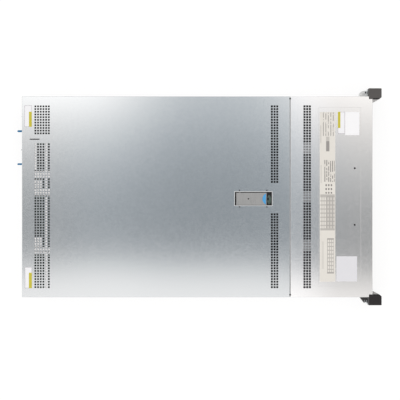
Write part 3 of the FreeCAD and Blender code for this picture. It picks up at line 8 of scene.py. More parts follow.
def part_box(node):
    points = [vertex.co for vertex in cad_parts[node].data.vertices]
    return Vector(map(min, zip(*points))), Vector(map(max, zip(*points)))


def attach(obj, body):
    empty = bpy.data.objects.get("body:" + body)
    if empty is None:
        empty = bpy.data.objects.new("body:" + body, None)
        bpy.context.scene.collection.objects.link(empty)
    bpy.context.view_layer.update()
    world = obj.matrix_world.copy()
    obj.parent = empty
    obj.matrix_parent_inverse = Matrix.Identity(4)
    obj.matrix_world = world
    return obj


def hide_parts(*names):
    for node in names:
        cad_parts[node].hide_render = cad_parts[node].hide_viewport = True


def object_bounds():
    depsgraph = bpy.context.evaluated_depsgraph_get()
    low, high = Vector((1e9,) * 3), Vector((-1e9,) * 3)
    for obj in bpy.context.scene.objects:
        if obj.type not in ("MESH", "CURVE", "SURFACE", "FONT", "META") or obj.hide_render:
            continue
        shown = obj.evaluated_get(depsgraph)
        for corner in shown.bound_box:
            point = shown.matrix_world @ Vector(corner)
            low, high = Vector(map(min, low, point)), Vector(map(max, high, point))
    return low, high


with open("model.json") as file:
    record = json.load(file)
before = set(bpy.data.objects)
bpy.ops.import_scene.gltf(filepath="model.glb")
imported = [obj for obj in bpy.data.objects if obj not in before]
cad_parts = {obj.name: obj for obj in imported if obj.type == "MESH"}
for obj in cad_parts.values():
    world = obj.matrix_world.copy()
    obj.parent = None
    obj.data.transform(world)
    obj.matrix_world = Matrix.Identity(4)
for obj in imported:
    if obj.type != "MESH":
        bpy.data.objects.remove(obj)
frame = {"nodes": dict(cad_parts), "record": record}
cad_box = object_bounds()


def mm(*sizes):
    """Millimetres in metres: one number, or a tuple of several."""
    return sizes[0] * 0.001 if len(sizes) == 1 else tuple(size * 0.001 for size in sizes)


def middle(node):
    """Middle of a CAD node seen from above."""
    low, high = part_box(node)
    return (low[0] + high[0]) / 2, (low[1] + high[1]) / 2


NEAR = 1e-6
GRID_DECIMALS = 6
FLAT = 0.9
ROUND_SIDES = 24

# Photograph: size of its frame, scale at the cover and the point of the cover in its middle
IMAGE_PIXELS = 400
PIXEL = mm(2.2235)
VIEW_CENTRE = mm(6.1, -7.2)
CAMERA_ABOVE_COVER = 2.3
SENSOR = 36.0
FAR_CLIP = 50.0

# Covers: the panels lie lower than the CAD box by two layers of stickers
STICKER_THICK = mm(0.06)
STICKER_LAYERS = 2
COVER_TOP = cad_box[1][2] - STICKER_LAYERS * STICKER_THICK
HALF_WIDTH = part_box("top_cover")[1][1]
FRONT_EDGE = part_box("front_cover")[1][0]
REAR_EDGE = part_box("top_cover")[0][0]
SEAM = (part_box("top_cover")[1][0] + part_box("front_cover")[0][0]) / 2
FLANGE_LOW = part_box("top_cover")[0][2]
SHEET = mm(1.0)
FOLD_RADIUS = mm(0.95)
FOLD_SEGMENTS = 3
EAR_GAP = mm(0.3)

# Vent grid: square holes in rows across the covers
VENT_PITCH = mm(6.0)
FRONT_HOLE = mm(4.6)
MIDDLE_HOLE = mm(4.3)
REAR_HOLE = mm(3.85)
VENT_EDGE = HALF_WIDTH - mm(22.5)
VENT_ROWS = 68
FRONT_COLUMNS = [FRONT_EDGE - mm(151.6) + VENT_PITCH * k for k in range(3)]
MIDDLE_COLUMNS = [FRONT_EDGE - mm(224.1) + VENT_PITCH * k for k in range(3)]
REAR_COLUMNS = [REAR_EDGE + mm(30) + VENT_PITCH * k for k in range(6)]
MIDDLE_GAP = range(29, 40)
REAR_GAP = range(11, 14)

# Openings and marks of the covers, those around the latch by their distance from the ends of its pan
(PAN_REAR, PAN_RIGHT, _), (PAN_FRONT, PAN_LEFT, _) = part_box("latch_pan")
LATCH_OPENING = ((PAN_REAR + mm(4.5), PAN_FRONT - mm(4.0)), (PAN_RIGHT + mm(7.0), PAN_LEFT - mm(7.3)))
LATCH_RIM_WIDTH = mm(1.2)
LATCH_RIM_DEPTH = mm(0.5)
LATCH_RIM_SLACK = mm(0.02)
RIVET_COLUMNS = (PAN_REAR + mm(15.0), PAN_FRONT - mm(15.3))
RIVET_ROWS = (PAN_LEFT - mm(3.8), PAN_RIGHT + mm(3.8))
RIVETS = [(x, y) for x in RIVET_COLUMNS for y in RIVET_ROWS]
RIVET_RADIUS = mm(1.55)
REAR_SLOT = ((REAR_EDGE + mm(17.4), REAR_EDGE + mm(39.5)), mm(126.9, 129.1))
SEAM_DOTS = [(SEAM, side * (HALF_WIDTH - mm(5.5))) for side in (1, -1)]
SEAM_DOT_RADIUS = mm(1.9)
RECESS = ((FRONT_EDGE - mm(120), FRONT_EDGE - mm(26)), mm(-199, 199))
RECESS_DEPTH = mm(0.4)
RECESS_SLOPE = mm(0.5)
SCREWS = [(FRONT_EDGE - mm(39.8), y) for y in mm(63.5, -62.4)]
SCREW_HOLE = mm(1.55)
SCREW_HEAD = mm(2.5)
SCREW_SEAT_LOW = COVER_TOP - 1.1 * SHEET
SCREW_SEAT_TOP = COVER_TOP - RECESS_DEPTH + mm(0.01)

# Places that a material paints: middle and radii of a disc, or ends along an axis
PAN_MIDDLE = middle("latch_pan")[1]
# Painted shade: dark disc for the lock's socket recess, its middle and radii
LOCK_SOCKET_SHADE = (middle("latch_lock"), mm(1.7, 1.7))
# Finger pocket of the latch: a lighter grey-green patch of painted reflection on its floor, and a
# dark oval of painted shade for its hole
POCKET_FLOOR_SHEEN = ((PAN_FRONT - mm(9.5), PAN_MIDDLE - mm(2.6)), mm(4.6, 10.5))
POCKET_HOLE_SHADE = ((PAN_FRONT - mm(11.8), PAN_MIDDLE - mm(1.0)), mm(1.9, 3.6))
POCKET_SHEEN_SHARE = 0.9
DISC_EDGE = (1.15, 0.75)
# Painted reflection on the front sheet: start and end of its fade towards the seam
SEAM_SHEEN_FADE = (FRONT_EDGE - mm(62), SEAM)
# Inside of the tray painted near-black as painted shade: its wall, floor and front
TRAY_WALL = mm(1.9)
TRAY_FLOOR = mm(0.6)
TRAY_FRONT = FRONT_EDGE - mm(6)
(EAR_REAR, EAR_INNER, _), (EAR_FRONT, _, _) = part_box("ear_left")
EAR_WALL = EAR_INNER + mm(0.1)
EAR_LINER_X = (EAR_REAR + mm(4), EAR_FRONT - mm(4))
EAR_LINER_Z = mm(3, 70)
# Groove along the top of each ear's inner wall, painted black as painted shade: its ends and width
EAR_GROOVE_X = (EAR_REAR + mm(8.8), EAR_FRONT - mm(6))
EAR_GROOVE_WIDTH = mm(1.9)
(CARRIER_REAR, CARRIER_SIDE, _), (CARRIER_FRONT, _, _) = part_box("drive_carrier_1")
CARRIER_RAIL = mm(2.75)
BAY_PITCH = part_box("drive_carrier_2")[0][1] - CARRIER_SIDE
DRIVE_X = (CARRIER_REAR + mm(27), CARRIER_FRONT - mm(13.6))

# Textures: features in a metre, their stretch along X, Y and Z, and the spread of roughness
ZINC_CLOUDS = 9.0
ZINC_SPANGLE = 260.0
ZINC_GRAIN = 420.0
ZINC_STRETCH = (0.25, 1.0, 1.0)
ZINC_SPECKS = 900.0
ZINC_SHARES = (0.15, 0.2, 0.2, 0.25)
ZINC_BASE = 0.1
ZINC_SPREAD = 0.03
# Painted shade inside the tray: near-black colour and added roughness
TRAY_SHADE = (0.012, 0.012, 0.013)
TRAY_SHADE_ROUGH = 0.6
BRUSH = 700.0
BRUSH_STRETCH = (1.0, 0.08, 1.0)
BRUSH_SPREAD = 0.15
MOULD_CLOUDS = 30.0
MOULD_GRAIN = 1400.0
MOULD_RELIEF = (0.12, mm(0.1))
MOULD_SPREAD = 0.16
DRIVE_BRUSH = 500.0
DRIVE_STRETCH = (0.1, 1.0, 1.0)
DRIVE_SMOOTHER = 0.12
LANE_PITCH = mm(4)
LANE_GAPS = mm(1.6, 0.6)
LANE_SHARE = 0.6
BOARD_CLOUDS = 60.0
BOARD_SHARE = 0.3
PAPER_CLOUDS = 40.0
PAPER_GRAIN = 300.0
PAPER_SPREAD = 0.1

# Sky above the covers, by its slope along X and Y: start and end of each fade, and levels
HORIZON = 0.02
SLOPE_X = (-0.16, 0.16)
SLOPE_Y = (-0.2, 0.11)
DIM_LEVEL = 0.33
DIM_SKY = (0.905, 1.0, 1.085)
BRIGHT_SKY = (1.03, 1.0, 0.985)
CORNER_LEVEL = 0.43
CORNER_REAR = (-0.01, -0.115, 0.78)
CORNER_FRONT = (0.045, 0.135, 0.55)
CORNER_EDGE = 0.096
CORNER_FADE = 0.055
BAND = (-0.0555, -0.0735)
BAND_SHIFTS = [(0.08, 0.09, 0.008), (0.12, 0.16, 0.005),
               (-0.02, -0.1, -0.0045), (-0.1, -0.16, 0.0045)]
FRONT_END = (0.095, 0.15)
FRONT_LEVEL = 0.015
FRONT_NEUTRAL = 0.5
REAR_END = (-0.11, -0.16)
REAR_LEVEL = -0.025
REAR_NEUTRAL = 0.45
FRONT_GLOW = ((0.08, 0.13), (-0.03, 0.03), 0.1)

# Room around that sky, which ends between two multiples of its outer slopes, and the floor
ROOM_EDGE = (1.15, 1.75)
ROOM_RISE = (-0.1, 0.6)
ROOM_LEVELS = (0.62, 1.05)
FLOOR_HALF = 12.0
FLOOR_GAP = mm(0.5)
FLOOR_GREY = (0.8, 0.8, 0.8, 1.0)
FLOOR_WHITE = 1.12
FLOOR_SHADOW = 0.25


class Field:
    """Socket of a node tree; arithmetic on it adds maths nodes."""

    def __init__(self, nodes, socket):
        self.nodes = nodes
        self.socket = socket

    def maths(self, kind, *values):
        return self.nodes.node("ShaderNodeMath", dict(enumerate(values)), operation=kind)

    def __add__(self, other):
        return self.maths("ADD", self, other)

    def __sub__(self, other):
        return self.maths("SUBTRACT", self, other)

    def __rsub__(self, other):
        return self.maths("SUBTRACT", other, self)

    def __mul__(self, other):
        return self.maths("MULTIPLY", self, other)

    def __truediv__(self, other):
        return self.maths("DIVIDE", self, other)

    def __gt__(self, other):
        return self.maths("GREATER_THAN", self, other)

    def __lt__(self, other):
        return self.maths("LESS_THAN", self, other)

    def __abs__(self):
        return self.maths("ABSOLUTE", self)

    __radd__ = __add__
    __rmul__ = __mul__

    def exponential(self):
        return self.maths("EXPONENT", self)

    def clamped(self, low, high):
        return self.maths("MINIMUM", self.maths("MAXIMUM", self, low), high)

    def larger(self, other):
        return self.maths("MAXIMUM", self, other)

    def inside(self, ends):
        """1 between two ends, 0 elsewhere."""
        return (self > ends[0]) * (self < ends[1])

    def folded(self, period):
        """Distance from the nearest whole number of periods."""
        return self.maths("PINGPONG", self, period / 2)


class Nodes:
    """Node tree of a material or of the room."""

    def __init__(self, tree, coordinates):
        self.tree = tree
        self.place = self.node("ShaderNodeTexCoord", {}, coordinates)

    def feed(self, socket, value):
        if isinstance(value, Field):
            self.tree.links.new(value.socket, socket)
        else:
            socket.default_value = value

    def node(self, kind, sockets, output=0, **settings):
        """Adds a node: its settings first, then the values or links of its sockets."""
        made = self.tree.nodes.new(kind)
        for name, value in settings.items():
            setattr(made, name, value)
        for name, value in sockets.items():
            self.feed(made.inputs[name], value)
        return Field(self, made.outputs[output])

    def axes(self):
        split = self.node("ShaderNodeSeparateXYZ", {0: self.place})
        return [Field(self, socket) for socket in split.socket.node.outputs]

    def ramp(self, value, start, end):
        """Smooth step from 0 at start to 1 at end."""
        sockets = {"Value": value, "From Min": start, "From Max": end}
        return self.node("ShaderNodeMapRange", sockets, interpolation_type="SMOOTHSTEP")

    def mix(self, factor, first, second):
        """Colour between two colours, each a tuple or a field."""
        first, second = [end if isinstance(end, Field) else (*end, 1.0) for end in (first, second)]
        return self.node("ShaderNodeMix", {0: factor, 6: first, 7: second}, 2, data_type="RGBA")


class Paint(Nodes):
    """Procedural material on object coordinates."""

    def __init__(self, name, roughness=0.5, metallic=0.0, gloss=0.5):
        self.material = bpy.data.materials.new(name)
        self.material.use_nodes = True
        super().__init__(self.material.node_tree, "Object")
        self.inputs = self.tree.nodes["Principled BSDF"].inputs
        self.inputs["Roughness"].default_value = roughness
        self.inputs["Metallic"].default_value = metallic
        self.inputs["Specular IOR Level"].default_value = gloss

    def noise(self, scale, detail=2.0, stretch=(1.0, 1.0, 1.0)):
        place = self.node("ShaderNodeMapping", {"Vector": self.place, "Scale": stretch})
        sockets = {"Vector": place, "Scale": scale, "Detail": detail}
        return self.node("ShaderNodeTexNoise", sockets, "Fac")

    def cells(self, scale):
        shades = self.node("ShaderNodeTexVoronoi", {"Vector": self.place, "Scale": scale}, "Color")
        return self.node("ShaderNodeSeparateColor", {"Color": shades})

    def disc(self, centre, radii):
        """Round or oval spot seen from above, with a soft edge."""
        x, y, z = self.axes()
        along = (x - centre[0]) / radii[0]
        across = (y - centre[1]) / radii[1]
        return self.ramp(along * along + across * across, *DISC_EDGE)

    def colour(self, value):
        self.feed(self.inputs["Base Color"], value)

    def rough(self, value):
        self.feed(self.inputs["Roughness"], value)

    def uneven(self, pattern, roughness, spread):
        """Roughness that follows a pattern about its middle."""
        self.rough(pattern * spread + (roughness - spread / 2))

    def metal(self, value):
        self.feed(self.inputs["Metallic"], value)

    def bump(self, height, strength, distance):
        sockets = {"Height": height, "Strength": strength, "Distance": distance}
        self.feed(self.inputs["Normal"], self.node("ShaderNodeBump", sockets, "Normal"))


# Materials

def galvanised(name, dark, light, roughness=0.115, seam_sheen=None, inside_painted=False):
    """Zinc-coated sheet: soft clouds, small spangle and a rolled grain along X.

    A front sheet is painted paler and bluer towards the seam as a painted reflection, and the tray is
    painted near-black inside as painted shade.
    """
    paint = Paint(name, roughness, 1.0)
    x, y, z = paint.axes()
    clouds = paint.noise(ZINC_CLOUDS, detail=3.0)
    spangle = paint.cells(ZINC_SPANGLE)
    grain = paint.noise(ZINC_GRAIN, stretch=ZINC_STRETCH)
    specks = paint.noise(ZINC_SPECKS, detail=1.0)
    patterns = (clouds, spangle, grain, specks)
    shade = sum(share * pattern for share, pattern in zip(ZINC_SHARES, patterns)) + ZINC_BASE
    colour = paint.mix(shade, dark, light)
    # Painted reflection: paler shades towards the seam
    if seam_sheen:
        colour = paint.mix(paint.ramp(x, *SEAM_SHEEN_FADE), colour, paint.mix(shade, *seam_sheen))
    # Painted shade: the inside of the tray near-black, rough and not metallic
    if inside_painted:
        inner = (abs(y) < HALF_WIDTH - TRAY_WALL) * (z > TRAY_FLOOR) * (x < TRAY_FRONT)
        colour = paint.mix(inner, colour, TRAY_SHADE)
        roughness = roughness + inner * TRAY_SHADE_ROUGH
        paint.metal(1 - inner)
    paint.colour(colour)
    paint.uneven((spangle + grain) / 2, roughness, ZINC_SPREAD)
    return paint.material


def plated(name, dark, light, roughness=0.3):
    """Plated steel with short brush marks along Y."""
    paint = Paint(name, roughness, 1.0)
    brush = paint.noise(BRUSH, stretch=BRUSH_STRETCH)
    paint.colour(paint.mix(brush, dark, light))
    paint.uneven(brush, roughness, BRUSH_SPREAD)
    return paint.material


def lock_face(name, dark, light, socket):
    """Plated lock with its socket painted as a dark disc of shade in its middle."""
    paint = Paint(name, 0.35, 1.0)
    brush = paint.noise(BRUSH, stretch=BRUSH_STRETCH)
    paint.colour(paint.mix(paint.disc(*LOCK_SOCKET_SHADE), paint.mix(brush, dark, light), socket))
    return paint.material


def moulded(name, dark, light, roughness=0.5, gloss=0.5):
    """Moulded plastic with a fine spark-eroded grain."""
    paint = Paint(name, roughness, gloss=gloss)
    grain = paint.noise(MOULD_GRAIN)
    paint.colour(paint.mix(paint.noise(MOULD_CLOUDS), dark, light))
    paint.uneven(grain, roughness, MOULD_SPREAD)
    paint.bump(grain, *MOULD_RELIEF)
    return paint.material


def latch_moulding_painted_pocket(name, dark, floor, hole, roughness=0.5):
    """Dark pan of the cover latch; the floor of its finger pocket is painted a lighter grey-green as
    a painted reflection, and its hole as a dark oval of painted shade.
    """
    paint = Paint(name, roughness)
    colour = paint.mix(paint.disc(*POCKET_FLOOR_SHEEN) * POCKET_SHEEN_SHARE, dark, floor)
    paint.colour(paint.mix(paint.disc(*POCKET_HOLE_SHADE), colour, hole))
    paint.uneven(paint.noise(MOULD_GRAIN), roughness, MOULD_SPREAD)
    return paint.material


def ear_moulding(name, dark, light, liner, groove, roughness=0.5):
    """Moulded rack ear with a pale liner on its inner wall, under a groove painted black as painted
    shade.
    """
    paint = Paint(name, roughness, gloss=0.25)
    x, y, z = paint.axes()
    inside_painted = x.inside(EAR_LINER_X) * (abs(y) < EAR_WALL) * z.inside(EAR_LINER_Z)
    near_wall = abs(y) < EAR_WALL + EAR_GROOVE_WIDTH
    # painted shade: a black strip where the groove runs
    groove_shade_mask = x.inside(EAR_GROOVE_X) * near_wall * (z > EAR_LINER_Z[1])
    grain = paint.noise(MOULD_GRAIN)
    colour = paint.mix(inside_painted, paint.mix(paint.noise(MOULD_CLOUDS), dark, light), liner)
    paint.colour(paint.mix(groove_shade_mask, colour, groove))
    paint.uneven(grain, roughness, MOULD_SPREAD)
    paint.bump(grain, *MOULD_RELIEF)
    return paint.material


def carried_drive(name, plastic, dark, light, roughness=0.5):
    """Black carrier with the bare metal drive between its rails."""
    paint = Paint(name, roughness, gloss=0.25)
    x, y, z = paint.axes()
    drive = x.inside(DRIVE_X) * (y.folded(BAY_PITCH) > CARRIER_RAIL)
    brush = paint.noise(DRIVE_BRUSH, stretch=DRIVE_STRETCH)
    paint.colour(paint.mix(drive, plastic, paint.mix(brush, dark, light)))
    paint.uneven(brush, roughness - drive * DRIVE_SMOOTHER, MOULD_SPREAD)
    paint.metal(drive)
    return paint.material


def circuit_board(name, mask, traces):
    """Solder mask with faint traces."""
    paint = Paint(name, 0.42)
    x, y, z = paint.axes()
    lanes = (x.folded(LANE_PITCH) > LANE_GAPS[0]) * (y.folded(LANE_PITCH) > LANE_GAPS[1])
    shade = lanes * LANE_SHARE + paint.noise(BOARD_CLOUDS) * BOARD_SHARE
    paint.colour(paint.mix(shade, mask, traces))
    return paint.material


def make_paints():
    """Materials by name: those of the record's slots, and those of single nodes."""
    zinc = (0.58, 0.605, 0.62), (0.68, 0.705, 0.715)
    # Near-black of the ear grooves: painted shade
    groove = (0.003, 0.003, 0.003)
    return {
        "zinc_steel": galvanised("zinc_steel", *zinc),
        # Tray painted near-black inside as painted shade
        "shaded_tray_steel": galvanised("shaded_tray_steel", *zinc, inside_painted=True),
        # Paler colours towards the seam: a painted reflection
        "front_steel": galvanised("front_steel", (0.62, 0.62, 0.615), (0.72, 0.72, 0.715),
                                  seam_sheen=((0.76, 0.765, 0.77), (0.88, 0.885, 0.89))),
        # Drive cage painted darker than the cover steel, as painted shade under the vent holes
        "shaded_cage_steel": galvanised("shaded_cage_steel", (0.20, 0.205, 0.21), (0.26, 0.265, 0.27), 0.3),
        "bright_steel": plated("bright_steel", (0.40, 0.40, 0.39), (0.48, 0.475, 0.46)),
        "pale_steel": plated("pale_steel", (0.67, 0.68, 0.675), (0.75, 0.76, 0.755), 0.4),
        "frosted_steel": plated("frosted_steel", (0.82, 0.82, 0.82), (0.9, 0.9, 0.9), 0.6),
        # Fan cage and PSU bay: a dark finish, deepened to near-black as painted shade of the closed
        # interior
        "dark_and_shaded_steel": plated("dark_and_shaded_steel", (0.022, 0.022, 0.024), (0.035, 0.035, 0.037), 0.55),
        "black_steel": plated("black_steel", (0.02, 0.02, 0.022), (0.035, 0.035, 0.037)),
        "latch_steel": plated("latch_steel", (0.33, 0.333, 0.33), (0.40, 0.403, 0.40)),
        # The last colour is the painted shade of the lock's socket
        "lock_steel": lock_face("lock_steel", (0.37, 0.37, 0.365), (0.44, 0.44, 0.435),
                                (0.02, 0.02, 0.02)),
        "fin_aluminium": plated("fin_aluminium", (0.72, 0.73, 0.74), (0.82, 0.82, 0.83)),
        "dark_moulding": moulded("dark_moulding", (0.035, 0.033, 0.033), (0.045, 0.042, 0.042)),
        # The two rack ears are one moulding, painted as a lit copy and a shaded copy: this one
        # lighter, the next darker, their liners too
        "lit_ear": ear_moulding("lit_ear", (0.075, 0.072, 0.07), (0.10, 0.095, 0.093),
                                 (0.68, 0.67, 0.66), groove),
        "shaded_ear": ear_moulding("shaded_ear", (0.016, 0.014, 0.015), (0.022, 0.019, 0.02),
                                  (0.45, 0.43, 0.42), groove),
        # Pocket floor colour: painted reflection; pocket hole colour: painted shade
        "latch_moulding_painted_pocket": latch_moulding_painted_pocket("latch_moulding_painted_pocket", (0.03, 0.029, 0.031), (0.17, 0.26, 0.225),
                                         (0.006, 0.006, 0.006)),
        "black_plastic": moulded("black_plastic", (0.007, 0.007, 0.008), (0.012, 0.012, 0.013),
                                 gloss=0.25),
        "carried_drive": carried_drive("carried_drive", (0.009, 0.009, 0.01), (0.36, 0.365, 0.37),
                                       (0.46, 0.465, 0.47)),
        "blue_plastic": moulded("blue_plastic", (0.052, 0.315, 0.65), (0.068, 0.37, 0.72), 0.42),
        # PSU tabs: a darker copy of the blue plastic, darkened as painted shade
        "shaded_blue": moulded("shaded_blue", (0.003, 0.165, 0.36), (0.006, 0.195, 0.42), gloss=0.2),
        "grey_plastic": moulded("grey_plastic", (0.15, 0.155, 0.16), (0.19, 0.195, 0.20)),
        "green_board": circuit_board("green_board", (0.008, 0.055, 0.022), (0.018, 0.11, 0.045)),
    }


# Nodes that differ from the other nodes of their slot
OWN_PAINTS = {
    "chassis_tray": "shaded_tray_steel",
    "drive_cage": "shaded_cage_steel",
    "riser_cages": "frosted_steel",
    "fan_cage": "dark_and_shaded_steel",
    "psu_bay": "dark_and_shaded_steel",
    "latch_lever": "latch_steel",
    "latch_lock": "lock_steel",
    "latch_pan": "latch_moulding_painted_pocket",
    # The left ear takes the lit copy and the right ear the shaded copy of one moulding
    "ear_left": "lit_ear",
    "ear_right": "shaded_ear",
    "ear_latch_left": "pale_steel",
    "psu_1_tab": "shaded_blue",
    "psu_2_tab": "shaded_blue",
    **{f"drive_carrier_{number}": "carried_drive" for number in range(1, 5)},
}


def dress_nodes(paints):
    """Material of every CAD node, by its slot in the record or its own."""
    for entry in frame["record"]["subparts"]:
        materials = frame["nodes"][entry["node"]].data.materials
        materials.clear()
        materials.append(paints[OWN_PAINTS.get(entry["node"], entry["material_slot"])])


# Shapes

def finish_piece(name, shape, material, body):
    """Turns a bmesh into a piece that rides on a body."""
    bmesh.ops.remove_doubles(shape, verts=shape.verts, dist=NEAR)
    bmesh.ops.recalc_face_normals(shape, faces=shape.faces)
    mesh = bpy.data.meshes.new(name)
    shape.to_mesh(mesh)
    shape.free()
    mesh.materials.append(material)
    piece = bpy.data.objects.new(name, mesh)
    bpy.context.scene.collection.objects.link(piece)
    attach(piece, body)
    return piece


def add_box(shape, low, high):
    """Closed box between two corners; gives back its vertices."""
    low, high = Vector(low), Vector(high)
    place = Matrix.Translation((low + high) / 2) @ Matrix.Diagonal((*(high - low), 1.0))
    return bmesh.ops.create_cube(shape, size=1.0, matrix=place)["verts"]


def add_post(shape, centre, low, high, radius, top_radius=None):
    """Upright cylinder or cone."""
    place = Matrix.Translation((*centre, (low + high) / 2))
    bmesh.ops.create_cone(shape, cap_ends=True, segments=ROUND_SIDES, radius1=radius,
                          radius2=top_radius or radius, depth=high - low, matrix=place)


def add_through_posts(shape, spots, radius):
    """Cylinders through a cover."""
    for spot in spots:
        add_post(shape, spot, COVER_TOP - 2 * SHEET, COVER_TOP + SHEET, radius)


def add_rim(shape, opening):
    """Frustum that slopes the edges of a rectangular opening."""
    (x_low, x_high), (y_low, y_high) = opening
    low = (x_low, y_low, COVER_TOP - LATCH_RIM_DEPTH)
    high = (x_high, y_high, COVER_TOP + LATCH_RIM_DEPTH)
    for vert in add_box(shape, low, high):
        grown = 2 * LATCH_RIM_WIDTH if vert.co.z > COVER_TOP else LATCH_RIM_SLACK
        for axis in (0, 1):
            vert.co[axis] += grown if vert.co[axis] > (low[axis] + high[axis]) / 2 else -grown


def within(x, y, box):
    """Whether a point lies in a rectangle."""
    (x_low, x_high), (y_low, y_high) = box
    return x_low < x < x_high and y_low < y < y_high


def vent_rows(gap=()):
    """Middles of the vent rows from left to right, without those in a gap."""
    return [VENT_EDGE - VENT_PITCH * row for row in range(VENT_ROWS) if row not in gap]


def hole_edges(centres, hole):
    """Grid lines along both edges of every hole."""
    return [round(centre + side * hole / 2, GRID_DECIMALS) for centre in centres for side in (-1, 1)]


def in_hole(value, centres, hole):
    """Whether a place along an axis lies in a hole."""
    return any(abs(value - centre) < hole / 2 for centre in centres)


def perforated_sheet(xs, ys, is_open):
    """Flat sheet on a grid of lines, without the cells that are open."""
    xs, ys = sorted(set(xs)), sorted(set(ys))
    shape = bmesh.new()
    bmesh.ops.create_grid(shape, x_segments=len(xs) - 1, y_segments=len(ys) - 1, size=1.0)
    for vert in shape.verts:
        column = round((vert.co.x + 1) / 2 * (len(xs) - 1))
        row = round((vert.co.y + 1) / 2 * (len(ys) - 1))
        vert.co = (xs[column], ys[row], COVER_TOP)
    holes = [face for face in shape.faces if is_open(*face.calc_center_bounds().xy)]
    bmesh.ops.delete(shape, geom=holes, context="FACES")
    return shape


def pull_down(shape, faces, drop):
    """Extrudes faces downwards."""
    made = bmesh.ops.extrude_face_region(shape, geom=faces)["geom"]
    verts = [item for item in made if isinstance(item, bmesh.types.BMVert)]
    bmesh.ops.translate(shape, verts=verts, vec=(0, 0, -drop))


def turn_sides_down(shape):
    """Draws the lower faces along both sides of a cover down into flanges."""
    faces = [face for face in shape.faces if abs(face.normal.z) > FLAT
             and face.calc_center_bounds().z < COVER_TOP - SHEET / 2
             and abs(face.calc_center_bounds().y) > HALF_WIDTH - SHEET]
    pull_down(shape, faces, COVER_TOP - SHEET - FLANGE_LOW)


def press_recess(shape, recess):
    """Presses a shallow recess with sloping steps into the upper face."""
    faces = [face for face in shape.faces if face.calc_center_bounds().z > COVER_TOP - NEAR
             and within(*face.calc_center_bounds().xy, recess)]
    bmesh.ops.inset_region(shape, faces=faces, thickness=RECESS_SLOPE, depth=-RECESS_DEPTH,
                           use_even_offset=True)


def round_folds(shape, ends):
    """Rounds the upper edges along the outline of a cover."""
    def on_outline(edge):
        first, second = [vert.co for vert in edge.verts]
        at_side = abs(abs(first.y) - HALF_WIDTH) < NEAR and abs(first.y - second.y) < NEAR
        at_end = min(abs(first.x - end) for end in ends) < NEAR and abs(first.x - second.x) < NEAR
        return min(first.z, second.z) > COVER_TOP - NEAR and (at_side or at_end)

    edges = [edge for edge in shape.edges if on_outline(edge)]
    bmesh.ops.bevel(shape, geom=edges, offset=FOLD_RADIUS, segments=FOLD_SEGMENTS, profile=0.5,
                    affect="EDGES", material=-1)


def carve(piece, cutter):
    """Cuts closed shapes out of a piece and leaves a plain mesh."""
    mesh = bpy.data.meshes.new("cutter")
    cutter.to_mesh(mesh)
    cutter.free()
    tool = bpy.data.objects.new("cutter", mesh)
    bpy.context.scene.collection.objects.link(tool)
    modifier = piece.modifiers.new("carve", "BOOLEAN")
    modifier.operation = "DIFFERENCE"
    modifier.solver = "EXACT"
    modifier.object = tool
    depsgraph = bpy.context.evaluated_depsgraph_get()
    piece.data = bpy.data.meshes.new_from_object(piece.evaluated_get(depsgraph))
    piece.modifiers.clear()
    bpy.data.objects.remove(tool)


def cover_panel(name, node, body, material, vents, cutter, openings=(), notch=None, recess=None):
    """Cover with its vent holes, openings and down-turned sides, in the place of a CAD cover."""
    (x_low, *_), (x_high, *_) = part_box(node)
    xs = [x_low, x_high]
    ys = [side * width for side in (-1, 1) for width in (HALF_WIDTH, HALF_WIDTH - SHEET)]
    for columns, rows, hole in vents:
        xs += hole_edges(columns, hole)
        ys += hole_edges(rows, hole)
    for along, across in (*openings, *([recess] if recess else [])):
        xs += along
        ys += across
    if notch:
        xs.append(notch[0])
        ys += [-notch[1], notch[1]]

    def is_open(x, y):
        in_notch = notch and x > notch[0] and abs(y) > notch[1]
        in_vent = any(in_hole(x, columns, hole) and in_hole(y, rows, hole)
                      for columns, rows, hole in vents)
        return in_notch or in_vent or any(within(x, y, box) for box in openings)

    shape = perforated_sheet(xs, ys, is_open)
    pull_down(shape, shape.faces[:], SHEET)
    bmesh.ops.recalc_face_normals(shape, faces=shape.faces)
    turn_sides_down(shape)
    bmesh.ops.recalc_face_normals(shape, faces=shape.faces)
    if recess:
        press_recess(shape, recess)
    round_folds(shape, (x_low, x_high))
    piece = finish_piece(name, shape, material, body)
    carve(piece, cutter)
    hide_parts(node)


def make_covers(paints):
    """Front and top cover with every vent hole of the photograph."""
    seats = bmesh.new()
    for spot in SCREWS:
        add_post(seats, spot, SCREW_SEAT_LOW, SCREW_SEAT_TOP, SCREW_HOLE, SCREW_HEAD)
    add_through_posts(seats, SEAM_DOTS, SEAM_DOT_RADIUS)
    notch = (EAR_REAR - EAR_GAP, EAR_INNER - EAR_GAP)
    vents = [(FRONT_COLUMNS, vent_rows(), FRONT_HOLE)]
    cover_panel("front_panel", "front_cover", "chassis", paints["front_steel"], vents, seats,
                notch=notch, recess=RECESS)

    holes = bmesh.new()
    add_through_posts(holes, RIVETS, RIVET_RADIUS)
    add_through_posts(holes, SEAM_DOTS, SEAM_DOT_RADIUS)
    add_rim(holes, LATCH_OPENING)
    vents = [(MIDDLE_COLUMNS, vent_rows(MIDDLE_GAP), MIDDLE_HOLE),
             (REAR_COLUMNS, vent_rows(REAR_GAP), REAR_HOLE)]
    cover_panel("top_panel", "top_cover", "cover", paints["zinc_steel"], vents, holes,
                openings=(LATCH_OPENING, REAR_SLOT))


